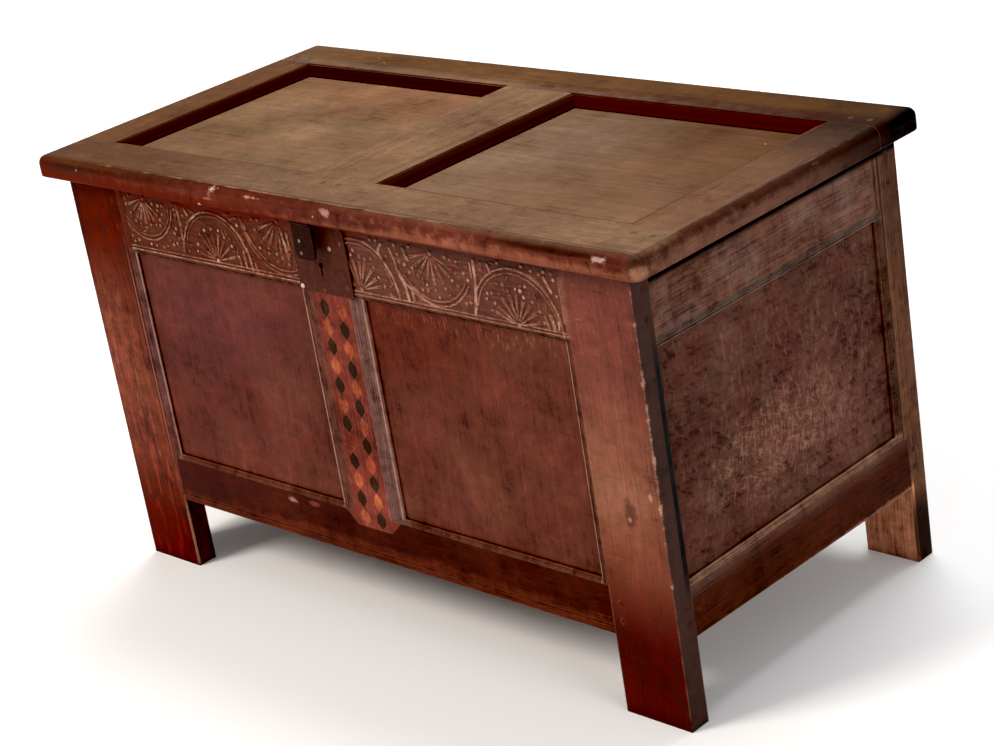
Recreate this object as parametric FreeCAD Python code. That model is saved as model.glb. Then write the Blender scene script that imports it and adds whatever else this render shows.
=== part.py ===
"""Joined oak coffer: a panelled chest with a two-panel lid, a lock with a hanging hasp and four plank feet.

Millimetres, +Z up, +X along the length, the front faces -Y.
The origin is on the ground under the middle of the lid, which is the widest part.
"""
import FreeCAD, Part
import os
import math
from FreeCAD import Vector, Placement, Rotation

# ---- driving dimensions ------------------------------------------------------------------------
# carcass
chest_length = 1000.0          # over the outer faces of the posts
chest_depth = 495.0            # front face to back face
carcass_height = 577.0         # ground to the underside of the lid
foot_height = 106.0            # clear height under the bottom rails
post_thickness = 30.0          # the posts are planks, flat to the front and to the back
front_post_width = 100.0
back_post_width = 80.0

# lid
lid_thickness = 29.0
lid_overhang_side = 35.0
lid_overhang_front = 24.0
lid_overhang_back = 9.0
lid_edge_round = 11.0          # thumb moulding on the top edge
lid_under_round = 3.5
lid_corner_round = 12.0        # worn corners, seen from above

# framing
rail_thickness = 28.0
side_rail_thickness = 24.0
tenon_thickness = 8.0
tenon_inset = 9.0              # face of the frame to the near cheek of a tenon
tenon_length = 32.0
side_tenon_length = 20.0
tenon_shoulder = 8.0           # a tenon is this much narrower than its rail, at each edge
joint_gap = 0.1                # clearance round a tenon in its mortise
mortise_slack = 1.0            # room past the end of a tenon
peg_radius = 4.0
peg_gap = 0.05
peg_length = 22.0

# panels in their grooves
panel_thickness = 10.0
panel_set_back = 7.0           # face of the frame to the face of the panel
panel_gap = 0.2                # clearance at each face of a panel
groove_depth = 9.0
panel_play = 1.0               # room for the panel to swell, at its sides and top

# front frame
front_top_rail_height = 101.0  # the carved frieze
front_bottom_rail_height = 71.0
front_muntin_width = 116.0
edge_moulding_depth = 5.0
post_moulding = 12.0
rail_moulding = 7.0
muntin_moulding = 27.0
muntin_foot_drop = 25.0        # the muntin's mitred foot is let into the bottom rail
muntin_foot_tenon = 22.0
muntin_tenon_inset = 3.0       # its tenons are this much narrower than its flat, at each edge
muntin_lap_length = 30.0       # the tongue at its head, lapped behind the frieze rail
muntin_lap_thickness = 10.0
scratch_line_height = 9.0      # scratched line above the lower edge of the bottom rail
scratch_line_width = 2.0
scratch_line_depth = 1.0

# side frames
side_top_rail_height = 103.0
side_bottom_rail_height = 80.0
side_rail_rise = 8.0           # its worn lower edge runs up towards the front
side_top_moulding = 15.0
side_bottom_moulding = 8.0
edge_strip_width = 20.0
edge_strip_moulding = 12.0

# back frame
back_top_rail_height = 97.0
back_bottom_rail_height = 64.0
back_muntin_width = 84.0

# floor
floor_board_count = 4
floor_thickness = 12.0
floor_rise = 12.0              # the boards lie this far above the lower edge of the rails
floor_groove = 8.0
floor_gap = 0.4

# inlay on the front muntin
inlay_rows = 12
inlay_lozenge_width = 16.0
inlay_lozenge_gap = 0.4        # between one lozenge and the next
inlay_foot_gap = 1.0           # from the foot of the muntin to the lowest lozenge
inlay_head_gap = 7.6           # from the highest lozenge to the lock plate
inlay_lozenge_shoulder = 9.0   # straight part of each side
inlay_column_offset = 15.0
inlay_thickness = 1.5

# lid frame
lid_front_rail_width = 83.0    # flat part, without the moulding
lid_back_rail_width = 83.0
lid_stile_width = 73.0
lid_muntin_width = 116.0
lid_muntin_offset = -6.0
lid_moulding = 22.0
lid_panel_set_back = 12.0
lid_moulding_depth = 10.0
lid_panel_thickness = 8.0
lid_tenon_inset = 12.0
lid_tenon_length = 40.0
lid_peg_spread = 28.0          # between the two pegs of a tenon

# lock
lock_centre = -3.0
plate_width = 97.0
plate_height = 95.0
plate_drop = 5.0               # top of the rail down to the top of the plate
plate_thickness = 1.8
plate_corner = 4.0             # its lower corners and its upper left one
plate_shoulder = 14.0          # its upper right corner, filed round
plate_nail_inset = 4.5         # nails of the lower edge and the left edge
plate_nail_right_inset = 7.0
plate_nail_low = 14.0          # right-hand nails, from the lower and the upper edge
plate_nail_high = 24.0
plate_nail_left_drop = 10.0
plate_nail_middle_offset = -3.0
plate_rivet_offset = 20.0      # a rivet from the middle of the plate and from its lower edge
plate_rivet_rise = 62.0
keyhole_offset = -2.2          # keyhole from the middle of the plate
keyhole_radius = 3.6
keyhole_drop = 62.5            # top of the rail to the centre of the round of the keyhole
keyhole_slot_width = 3.2
keyhole_slot_length = 15.0
case_width = 72.0
case_height = 68.0
case_depth = 14.0
case_wall = 1.5
case_gap = 0.3
case_rise = 15.0               # centre of the case above the centre of the keyhole
key_pin_radius = 2.0
key_pin_set_back = 3.0         # its end lies this far behind the plate
bolt_height = 6.5
bolt_thickness = 2.0
bolt_length = 39.0
bolt_gap = 0.15
bolt_tip_gap = 2.8             # drawn back, the bolt stops short of the staple
talon_width = 8.0              # notch in the bolt for the key
talon_depth = 2.5
bolt_travel = 9.0
bolt_drop = 32.8               # top of the rail to the centre line of the bolt
guide_wire = 1.5
guide_width = 3.0
guide_front_inset = 1.2        # from the tip of the bolt
guide_back_inset = 16.0        # from its tail
spring_thickness = 0.8
spring_width = 4.5
spring_length = 14.0
spring_rise = 8.0              # how far it springs down from the wall of the case

# hasp
hasp_offset = -7.0             # hasp from the middle of the plate
hasp_width = 36.0
hasp_length = 48.0
hasp_thickness = 2.4
hasp_corner = 9.0
hasp_axis_out = 17.0           # front face of the carcass to the hasp's pin
hasp_knuckle_radius = 3.2
hasp_pin_radius = 1.4
hasp_leaf_length = 54.0
hasp_leaf_width = 34.0
hasp_knuckle_width = 13.0      # the hasp's own knuckle, between the two of the leaf
hasp_leaf_nail_inset = 8.0
hasp_leaf_nail_pitch = 18.0
hasp_recess_rise = 1.0         # the knuckles stand this far up into the lid
staple_offset = -7.0           # staple from the middle of the hasp
staple_drop = 32.0             # pin of the hasp to the middle of the staple
staple_spread = 16.0           # between the centre lines of its two legs
staple_reach = 13.0            # back of the hasp to the outside of the loop
staple_wire = 2.4
staple_slot_gap = 1.2
rivet_radius = 2.4
rivet_rise = 0.9
rivet_taper = 0.5
latched_angle = 16.5           # from plumb to pressed home against the plate

# hinges
hinge_inset = 90.0             # inner edge of a back post to the middle of a hinge
hinge_leaf_thickness = 2.2
hinge_leaf_length = 78.0
hinge_leaf_root = 38.0
hinge_leaf_end = 56.0
hinge_nail_reaches = (33.0, 64.0)
hinge_nail_inset = 6.0
hinge_knuckle_radius = 3.6
hinge_pin_radius = 1.6
hinge_axis_out = 4.2           # back face of the carcass to the pin
hinge_axis_drop = 3.0          # underside of the lid to the pin
pin_gap = 0.05
knuckle_gap = 0.3
leaf_gap = 0.05                # clearance round a leaf in its recess

# nails
nail_head_radius = 3.2
nail_head_height = 1.5
nail_head_taper = 0.55
nail_radius = 1.1
nail_length = 13.0
nail_gap = 0.05

past = 1.0                     # every cutter runs on this far past the face that it opens

# ---- derived levels ----------------------------------------------------------------------------
half_length = chest_length / 2
lid_length = chest_length + 2 * lid_overhang_side
lid_depth = chest_depth + lid_overhang_front + lid_overhang_back
front_y = -lid_depth / 2 + lid_overhang_front
back_y = front_y + chest_depth
lid_top = carcass_height + lid_thickness
floor_height = foot_height + floor_rise
tenon_depths = (tenon_inset, tenon_inset + tenon_thickness)
front_inner_y = front_y + post_thickness
back_inner_y = back_y - post_thickness

placements = {
    "front": Placement(Vector(0, front_y, 0), Rotation()),
    "back": Placement(Vector(0, back_y, 0), Rotation(Vector(0, 0, 1), 180)),
    "right": Placement(Vector(half_length, 0, 0), Rotation(Vector(0, 0, 1), 90)),
    "lid": Placement(Vector(0, 0, lid_top), Rotation(Vector(1, 0, 0), -90)),
}


# ---- helpers -----------------------------------------------------------------------------------
# Each frame is drawn flat: u runs along it, d goes inwards from its outer face and v runs up it.
def box(x_range, y_range, z_range):
    (x0, x1), (y0, y1), (z0, z1) = sorted(x_range), sorted(y_range), sorted(z_range)
    return Part.makeBox(x1 - x0, y1 - y0, z1 - z0, Vector(x0, y0, z0))


def place(shape, frame):
    placed = shape.copy()
    placed.Placement = placements[frame].multiply(shape.Placement)
    return placed


def mirrored(shape):
    return shape.mirror(Vector(0, 0, 0), Vector(1, 0, 0))


def board(outline, depths):
    """A board cut to an outline of (u, v) points, between two depths."""
    points = [Vector(u, depths[0], v) for u, v in outline]
    face = Part.Face(Part.makePolygon(points + points[:1]))
    return face.extrude(Vector(0, depths[1] - depths[0], 0))


def rod(start, direction, radius, length):
    return Part.makeCylinder(radius, length, Vector(*start), Vector(*direction))


def joined(first, *others):
    shape = first
    for other in others:
        shape = shape.fuse(other)
    return shape.removeSplitter()


def cut_away(shape, cutters):
    for cutter in cutters:
        if shape.BoundBox.intersect(cutter.BoundBox):
            shape = shape.cut(cutter)
    return shape


def rectangle_wire(opening, grow_share, depth):
    left, right, low, high = opening["moulding"]
    u0 = opening["u"][0] - left * grow_share
    u1 = opening["u"][1] + right * grow_share
    v0 = opening["v"][0] - low * grow_share
    v1 = opening["v"][1] + high * grow_share
    corners = [Vector(u0, depth, v0), Vector(u1, depth, v0), Vector(u1, depth, v1), Vector(u0, depth, v1)]
    return Part.makePolygon(corners + corners[:1])


def moulding_cutters(opening, profile):
    """What a moulding takes off the inner edges of a frame; profile holds (share of width, depth)."""
    steps = [(profile[0][0], -past)] + profile
    cutters = []
    for (share0, depth0), (share1, depth1) in zip(steps, steps[1:]):
        wires = [rectangle_wire(opening, share0, depth0), rectangle_wire(opening, share1, depth1)]
        cutters.append(Part.makeLoft(wires, True, True))
    return cutters


def groove_cutter(opening, set_back, thickness):
    depths = (set_back - panel_gap, set_back + thickness + panel_gap)
    u_range = (opening["u"][0] - groove_depth, opening["u"][1] + groove_depth)
    v_range = (opening["v"][0] - groove_depth, opening["v"][1] + groove_depth)
    return box(u_range, depths, v_range)


def panel(opening, set_back, thickness):
    reach = groove_depth - panel_play
    u_range = (opening["u"][0] - reach, opening["u"][1] + reach)
    v_range = (opening["v"][0] - groove_depth, opening["v"][1] + reach)
    return box(u_range, (set_back, set_back + thickness), v_range)


def tenon(u_range, v_range, depths=tenon_depths):
    return box(u_range, depths, v_range)


def mortise(u_range, v_range, depths=tenon_depths, upright=False):
    """The hole for a tenon, with slack past its end, which points along u or, if upright, along v."""
    (u0, u1), (v0, v1) = sorted(u_range), sorted(v_range)
    u_room, v_room = (joint_gap, mortise_slack) if upright else (mortise_slack, joint_gap)
    return box((u0 - u_room, u1 + u_room), (depths[0] - joint_gap, depths[1] + joint_gap),
               (v0 - v_room, v1 + v_room))


def pegs(frame, spots):
    """Pegs driven in from the face of a frame, and the holes they fill."""
    made = [place(rod((u, 0, v), (0, 1, 0), peg_radius, peg_length), frame) for u, v in spots]
    holes = [place(rod((u, -past, v), (0, 1, 0), peg_radius + peg_gap, peg_length + past), frame)
             for u, v in spots]
    return made, holes


def nail(length=nail_length):
    """A nail along +Y with its head on the plane y = 0 and proud of it."""
    head = Part.makeCone(nail_head_radius, nail_head_radius * nail_head_taper, nail_head_height,
                         Vector(0, 0, 0), Vector(0, -1, 0))
    return joined(head, rod((0, 0, 0), (0, 1, 0), nail_radius, length))


def flush_nail(leaf_thickness, hole=False):
    """A nail along +Y whose flat head is sunk halfway into a leaf, or the hole for one."""
    gap, start = (nail_gap, -past) if hole else (0.0, 0.0)
    head = rod((0, start, 0), (0, 1, 0), nail_head_radius + gap, leaf_thickness / 2 - start)
    return joined(head, rod((0, start, 0), (0, 1, 0), nail_radius + gap, nail_length - start))


def nail_hole(u, v, front=0.0):
    """A straight hole through a plate whose face lies at the depth front, and on into the wood."""
    start = front - past
    return rod((u, start, v), (0, 1, 0), nail_radius + nail_gap, nail_length + front - start)


def at(shape, frame, u, d, v):
    moved = shape.copy()
    moved.translate(Vector(u, d, v))
    return place(moved, frame)


nodes = {}


def keep(name, *shapes):
    solids = [solid for shape in shapes for solid in shape.Solids]
    nodes[name] = solids[0] if len(solids) == 1 else Part.makeCompound(solids)


# ---- openings of the frames --------------------------------------------------------------------
front_top_edge = carcass_height - front_top_rail_height
front_bottom_edge = foot_height + front_bottom_rail_height
front_post_inner = half_length - front_post_width
front_panel_outer = front_post_inner - post_moulding
front_panel_inner = front_muntin_width / 2
muntin_flat = front_panel_inner - muntin_moulding
front_opening = {
    "right": {"u": (front_panel_inner, front_panel_outer), "v": (front_bottom_edge, front_top_edge),
              "moulding": (muntin_moulding, post_moulding, rail_moulding, rail_moulding)},
    "left": {"u": (-front_panel_outer, -front_panel_inner), "v": (front_bottom_edge, front_top_edge),
             "moulding": (post_moulding, muntin_moulding, rail_moulding, rail_moulding)},
}
edge_profile = [(1.0, 0.0), (0.0, edge_moulding_depth)]

side_strip_edge = back_inner_y - edge_strip_width
side_top_edge = carcass_height - side_top_rail_height
side_bottom_edge = foot_height + side_bottom_rail_height
side_opening = {"u": (front_inner_y, side_strip_edge), "v": (side_bottom_edge, side_top_edge),
                "moulding": (0.0, edge_strip_moulding, side_bottom_moulding, side_top_moulding)}

back_top_edge = carcass_height - back_top_rail_height
back_bottom_edge = foot_height + back_bottom_rail_height
back_post_inner = half_length - back_post_width
back_panel_inner = back_muntin_width / 2
back_openings = [
    {"u": (-back_post_inner, -back_panel_inner), "v": (back_bottom_edge, back_top_edge)},
    {"u": (back_panel_inner, back_post_inner), "v": (back_bottom_edge, back_top_edge)},
]

lid_flat_x = lid_length / 2 - lid_stile_width
lid_flat_front = -lid_depth / 2 + lid_front_rail_width
lid_flat_back = lid_depth / 2 - lid_back_rail_width
lid_muntin_left = lid_muntin_offset - lid_muntin_width / 2
lid_muntin_right = lid_muntin_offset + lid_muntin_width / 2
lid_v = (lid_flat_front + lid_moulding, lid_flat_back - lid_moulding)
lid_openings = {
    "left": {"u": (-lid_flat_x + lid_moulding, lid_muntin_left - lid_moulding), "v": lid_v,
             "moulding": (lid_moulding,) * 4},
    "right": {"u": (lid_muntin_right + lid_moulding, lid_flat_x - lid_moulding), "v": lid_v,
              "moulding": (lid_moulding,) * 4},
}
# a small step, a round, a deep quirk and a fillet, from the flat of the lid down to its panel
lid_profile = [(1.0, 0.0), (1.0, 0.15 * lid_moulding_depth), (0.84, 0.18 * lid_moulding_depth),
               (0.5, 0.45 * lid_moulding_depth), (0.36, 0.85 * lid_moulding_depth),
               (0.0, lid_moulding_depth)]

front_moulds = [c for o in front_opening.values() for c in moulding_cutters(o, edge_profile)]
front_grooves = [groove_cutter(o, panel_set_back, panel_thickness) for o in front_opening.values()]
side_moulds = moulding_cutters(side_opening, edge_profile)
side_grooves = [groove_cutter(side_opening, panel_set_back, panel_thickness)]
back_grooves = [groove_cutter(o, panel_set_back, panel_thickness) for o in back_openings]

# ---- tenons, shared by the rails that have them and the posts that take them ---------------------
top_tenon_v = (front_top_edge + rail_moulding + tenon_shoulder, carcass_height - tenon_shoulder)
bottom_tenon_v = (foot_height + tenon_shoulder, front_bottom_edge - rail_moulding - tenon_shoulder)
front_tenon_u = (front_post_inner, front_post_inner + tenon_length)
back_tenon_u = (back_post_inner, back_post_inner + tenon_length)
back_top_tenon_v = (back_top_edge + tenon_shoulder, carcass_height - tenon_shoulder)
back_bottom_tenon_v = (foot_height + tenon_shoulder, back_bottom_edge - tenon_shoulder)
side_top_tenon_v = (side_top_edge + side_top_moulding + tenon_shoulder, carcass_height - tenon_shoulder)
side_bottom_tenon_v = (foot_height + side_rail_rise + tenon_shoulder,
                       side_bottom_edge - side_bottom_moulding - tenon_shoulder)
side_front_tenon_u = (front_inner_y - side_tenon_length, front_inner_y)
side_back_tenon_u = (back_inner_y, back_inner_y + side_tenon_length)


def peg_pair(tenon_u, tenon_v):
    """Two pegs through the middle of a tenon, a quarter of its height from each edge."""
    u = (tenon_u[0] + tenon_u[1]) / 2
    quarter = (tenon_v[1] - tenon_v[0]) / 4
    return [(u, tenon_v[0] + quarter), (u, tenon_v[1] - quarter)]


def both_ways(spots):
    return spots + [(-u, v) for u, v in spots]


front_pegs, front_holes = pegs("front", both_ways(peg_pair(front_tenon_u, top_tenon_v)
                                                  + peg_pair(front_tenon_u, bottom_tenon_v)))
back_pegs, back_holes = pegs("back", both_ways(peg_pair(back_tenon_u, back_top_tenon_v)
                                               + peg_pair(back_tenon_u, back_bottom_tenon_v)))
side_pegs, side_holes = pegs("right", peg_pair(side_front_tenon_u, side_top_tenon_v)
                             + peg_pair(side_front_tenon_u, side_bottom_tenon_v)
                             + peg_pair(side_back_tenon_u, side_top_tenon_v)
                             + peg_pair(side_back_tenon_u, side_bottom_tenon_v))

front_mortises = [mortise(front_tenon_u, v) for v in (top_tenon_v, bottom_tenon_v)]
back_mortises = [mortise(back_tenon_u, v) for v in (back_top_tenon_v, back_bottom_tenon_v)]
side_mortises = [mortise(u, v) for u in (side_front_tenon_u, side_back_tenon_u)
                 for v in (side_top_tenon_v, side_bottom_tenon_v)]
strip_mortise = mortise((side_strip_edge, back_inner_y), side_top_tenon_v)


# ---- posts -------------------------------------------------------------------------------------
def make_posts():
    outline = [
        (front_post_inner, 0), (half_length, 0), (half_length, carcass_height),
        (front_post_inner, carcass_height), (front_post_inner, front_top_edge + rail_moulding),
        (front_panel_outer, front_top_edge), (front_panel_outer, front_bottom_edge),
        (front_post_inner, front_bottom_edge - rail_moulding),
    ]
    cutters = [place(c, "front") for c in front_moulds + front_grooves + front_mortises]
    cutters += [place(c, "right") for c in side_grooves + side_mortises]
    cutters += front_holes + side_holes
    post = cut_away(place(board(outline, (0, post_thickness)), "front"), cutters)
    keep("post_front_right", post)
    keep("post_front_left", mirrored(post))

    cutters = [place(c, "right") for c in side_mortises]
    post = box((back_post_inner, half_length), (back_inner_y, back_y), (0, carcass_height))
    # the back frame is symmetrical, so its left half, seen from behind, serves the right post
    back_mirror = [mirrored(place(c, "back")) for c in back_mortises]
    cutters += back_mirror + [place(c, "back") for c in back_grooves] + back_holes + side_holes
    post = cut_away(post, cutters)
    keep("post_back_right", post)
    keep("post_back_left", mirrored(post))


# ---- lock, worked out first because the frieze rail is cut for it --------------------------------
plate_top = carcass_height - plate_drop
plate_bottom = plate_top - plate_height
plate_left = lock_centre - plate_width / 2
plate_right = lock_centre + plate_width / 2
keyhole_u = lock_centre + keyhole_offset
keyhole_z = carcass_height - keyhole_drop
case_u = (lock_centre - case_width / 2, lock_centre + case_width / 2)
case_v = (keyhole_z + case_rise - case_height / 2, keyhole_z + case_rise + case_height / 2)
bolt_z = carcass_height - bolt_drop
hasp_axis_y = front_y - hasp_axis_out
hasp_axis_z = carcass_height - hasp_knuckle_radius + hasp_recess_rise
hasp_centre = lock_centre + hasp_offset
staple_u = hasp_centre + staple_offset
bolt_tip_u = staple_u + staple_wire / 2 + bolt_tip_gap
case_pocket = box((case_u[0] - case_gap, case_u[1] + case_gap), (-past, case_depth + case_gap),
                  (case_v[0] - case_gap, case_v[1] + case_gap))
plate_nail_spots = [
    (plate_left + plate_nail_inset, plate_bottom + plate_nail_inset),
    (lock_centre + plate_nail_middle_offset, plate_bottom + plate_nail_inset),
    (plate_right - plate_nail_right_inset, plate_bottom + plate_nail_low),
    (plate_right - plate_nail_right_inset, plate_top - plate_nail_high),
    (plate_left + plate_nail_inset, plate_top - plate_nail_left_drop),
]
plate_rivet_spot = (lock_centre + plate_rivet_offset, plate_bottom + plate_rivet_rise)


def staple_slot():
    """The slot sweeps as high as the staple needs when the hasp turns in."""
    top = hasp_axis_z - (staple_drop - staple_spread / 2) * math.cos(math.radians(latched_angle))
    room = staple_wire / 2 + staple_slot_gap
    reach = staple_reach + hasp_thickness / 2
    slot_top = top + reach * math.sin(math.radians(latched_angle)) + room
    slot_bottom = hasp_axis_z - (staple_drop + staple_spread / 2) - room
    return box((staple_u - room, staple_u + room), (-plate_thickness - past, past),
               (slot_bottom, slot_top))


def make_lock():
    plate = box((plate_left, plate_right), (-plate_thickness, 0), (plate_bottom, plate_top))
    corners = [edge for edge in plate.Edges if edge.BoundBox.YLength > plate_thickness / 2]
    shoulder = [edge for edge in corners
                if edge.BoundBox.XMin > lock_centre and edge.BoundBox.ZMin > keyhole_z]
    plate = plate.makeFillet(plate_shoulder, shoulder)
    corners = [edge for edge in plate.Edges if edge.BoundBox.YLength > plate_thickness / 2
               and edge.BoundBox.XMin in (plate_left, plate_right)
               and (edge.BoundBox.ZMin < keyhole_z or edge.BoundBox.XMax < lock_centre)]
    plate = plate.makeFillet(plate_corner, corners)
    through = (-plate_thickness - past, past)
    key_round = rod((keyhole_u, through[0], keyhole_z), (0, 1, 0), keyhole_radius,
                    through[1] - through[0])
    key_slot = box((keyhole_u - keyhole_slot_width / 2, keyhole_u + keyhole_slot_width / 2),
                   through, (keyhole_z - keyhole_slot_length, keyhole_z))
    holes = [nail_hole(u, v, -plate_thickness) for u, v in plate_nail_spots + [plate_rivet_spot]]
    keep("lock_plate", place(cut_away(plate, [key_round, key_slot, staple_slot()] + holes), "front"))
    keep("lock_nails", *[at(nail(), "front", u, -plate_thickness, v) for u, v in plate_nail_spots])
    rivet_u, rivet_v = plate_rivet_spot
    keep("lock_rivet", at(nail(2 * plate_thickness), "front", rivet_u, -plate_thickness, rivet_v))

    case = box(case_u, (0, case_depth), case_v)
    hollow = box((case_u[0] + case_wall, case_u[1] - case_wall), (-past, case_depth - case_wall),
                 (case_v[0] + case_wall, case_v[1] - case_wall))
    keep("lock_case", place(case.cut(hollow), "front"))
    keep("lock_key_pin", place(rod((keyhole_u, key_pin_set_back, keyhole_z), (0, 1, 0), key_pin_radius,
                                   case_depth - case_wall - key_pin_set_back), "front"))

    # the bolt lies just behind the plate and slides towards -X through the staple
    bolt_depths = (bolt_gap, bolt_gap + bolt_thickness)
    bolt_v = (bolt_z - bolt_height / 2, bolt_z + bolt_height / 2)
    bolt = box((bolt_tip_u, bolt_tip_u + bolt_length), bolt_depths, bolt_v)
    talon_middle = lock_centre + bolt_travel / 2
    talon = box((talon_middle - talon_width / 2, talon_middle + talon_width / 2), bolt_depths,
                (bolt_v[0], bolt_v[0] + talon_depth))
    keep("lock_bolt", place(bolt.cut(talon), "front"))

    def guide(u):
        outer = box((u, u + guide_width), (0, bolt_depths[1] + bolt_gap + guide_wire),
                    (bolt_v[0] - bolt_gap - guide_wire, bolt_v[1] + bolt_gap + guide_wire))
        inner = box((u - past, u + guide_width + past), (-past, bolt_depths[1] + bolt_gap),
                    (bolt_v[0] - bolt_gap, bolt_v[1] + bolt_gap))
        return place(outer.cut(inner), "front")

    keep("lock_bolt_guides", guide(bolt_tip_u + guide_front_inset),
         guide(bolt_tip_u + bolt_length - guide_back_inset))

    # a leaf spring from the side wall of the case bears down on the tail of the bolt
    wall_u = case_u[1] - case_wall
    tip_u = wall_u - spring_length
    under = bolt_v[1] + knuckle_gap
    knee_u = tip_u + spring_width / 2
    outline = [(wall_u, under + spring_rise), (knee_u, under), (tip_u, under),
               (tip_u, under + spring_thickness), (knee_u, under + spring_thickness),
               (wall_u, under + spring_rise + spring_thickness)]
    keep("lock_spring", place(board(outline, (bolt_gap, bolt_gap + spring_width)), "front"))


# ---- front frame -------------------------------------------------------------------------------
muntin_foot = front_bottom_edge - muntin_foot_drop
inlay_span = plate_bottom - inlay_head_gap - muntin_foot - inlay_foot_gap
inlay_pitch = (inlay_span + inlay_lozenge_gap) / inlay_rows


def lozenge(u, v, depths):
    half_width = inlay_lozenge_width / 2
    half_height = (inlay_pitch - inlay_lozenge_gap) / 2
    shoulder = inlay_lozenge_shoulder / 2
    return board([(u, v - half_height), (u + half_width, v - shoulder), (u + half_width, v + shoulder),
                  (u, v + half_height), (u - half_width, v + shoulder), (u - half_width, v - shoulder)],
                 depths)


def make_inlay():
    """Two columns of lozenges, dark and light by turns; returns the pockets for them."""
    groups = {"dark": [], "light": []}
    pockets = []
    for row in range(inlay_rows):
        v = muntin_foot + inlay_foot_gap + (row + 0.5) * inlay_pitch - inlay_lozenge_gap / 2
        for column, side in enumerate((-1, 1)):
            colour = "dark" if (row + column) % 2 == 1 else "light"
            u = side * inlay_column_offset
            groups[colour].append(place(lozenge(u, v, (0, inlay_thickness)), "front"))
            pockets.append(place(lozenge(u, v, (-past, inlay_thickness)), "front"))
    keep("inlay_dark", *groups["dark"])
    keep("inlay_light", *groups["light"])
    return pockets


def floor_groove_cutter():
    return box((-half_length, half_length), (rail_thickness - floor_groove, rail_thickness + past),
               (floor_height, floor_height + floor_thickness + floor_gap))


def make_front():
    lower_v = front_bottom_edge - rail_moulding
    upper_v = front_top_edge + rail_moulding
    muntin_tenon_u = (-muntin_flat + muntin_tenon_inset, muntin_flat - muntin_tenon_inset)
    foot_tenon_v = (muntin_foot - muntin_foot_tenon, muntin_foot)
    lap_depths = (rail_thickness - muntin_lap_thickness, rail_thickness)
    lap_v = (upper_v, upper_v + muntin_lap_length)

    top_half = [(front_post_inner, upper_v), (front_panel_outer, front_top_edge),
                (front_panel_inner, front_top_edge), (muntin_flat, upper_v)]
    outline = [(-front_post_inner, carcass_height), (front_post_inner, carcass_height)] + top_half
    outline += [(-u, v) for u, v in reversed(top_half)]
    rail = board(outline, (0, rail_thickness))
    rail = joined(rail, *[tenon((side * front_tenon_u[0], side * front_tenon_u[1]), top_tenon_v)
                          for side in (-1, 1)])
    lap = box((muntin_tenon_u[0] - joint_gap, muntin_tenon_u[1] + joint_gap),
              (lap_depths[0] - joint_gap, lap_depths[1] + past),
              (lap_v[0] - past, lap_v[1] + joint_gap))
    nail_holes = [nail_hole(u, v) for u, v in plate_nail_spots]
    hollows = [place(c, "front") for c in front_moulds + front_grooves + [case_pocket, lap] + nail_holes]
    keep("rail_front_top", cut_away(place(rail, "front"), hollows + front_holes))

    bottom_half = [(front_post_inner, lower_v), (front_panel_outer, front_bottom_edge),
                   (front_panel_inner, front_bottom_edge), (muntin_flat, muntin_foot)]
    outline = [(-front_post_inner, foot_height), (front_post_inner, foot_height)] + bottom_half
    outline += [(-u, v) for u, v in reversed(bottom_half)]
    rail = board(outline, (0, rail_thickness))
    rail = joined(rail, *[tenon((side * front_tenon_u[0], side * front_tenon_u[1]), bottom_tenon_v)
                          for side in (-1, 1)])
    line_v = foot_height + scratch_line_height
    scratch = box((-front_post_inner - past, front_post_inner + past), (-past, scratch_line_depth),
                  (line_v, line_v + scratch_line_width))
    foot_mortise = box((muntin_tenon_u[0] - joint_gap, muntin_tenon_u[1] + joint_gap),
                       (tenon_depths[0] - joint_gap, tenon_depths[1] + joint_gap),
                       (foot_tenon_v[0] - mortise_slack, foot_tenon_v[1] + past))
    cuts = [scratch, foot_mortise, floor_groove_cutter()]
    hollows = [place(c, "front") for c in front_moulds + front_grooves + cuts]
    keep("rail_front_bottom", cut_away(place(rail, "front"), hollows + front_holes))

    outline = [(muntin_flat, muntin_foot), (front_panel_inner, front_bottom_edge),
               (front_panel_inner, front_top_edge), (muntin_flat, upper_v)]
    outline += [(-u, v) for u, v in reversed(outline)]
    muntin = board(outline, (0, rail_thickness))
    muntin = joined(muntin, tenon(muntin_tenon_u, foot_tenon_v), box(muntin_tenon_u, lap_depths, lap_v))
    hollows = [place(c, "front") for c in front_moulds + front_grooves + nail_holes]
    keep("muntin_front", cut_away(place(muntin, "front"), hollows + make_inlay()))

    for side, opening in front_opening.items():
        keep("panel_front_" + side, place(panel(opening, panel_set_back, panel_thickness), "front"))
    keep("pegs_front", *front_pegs)


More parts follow.
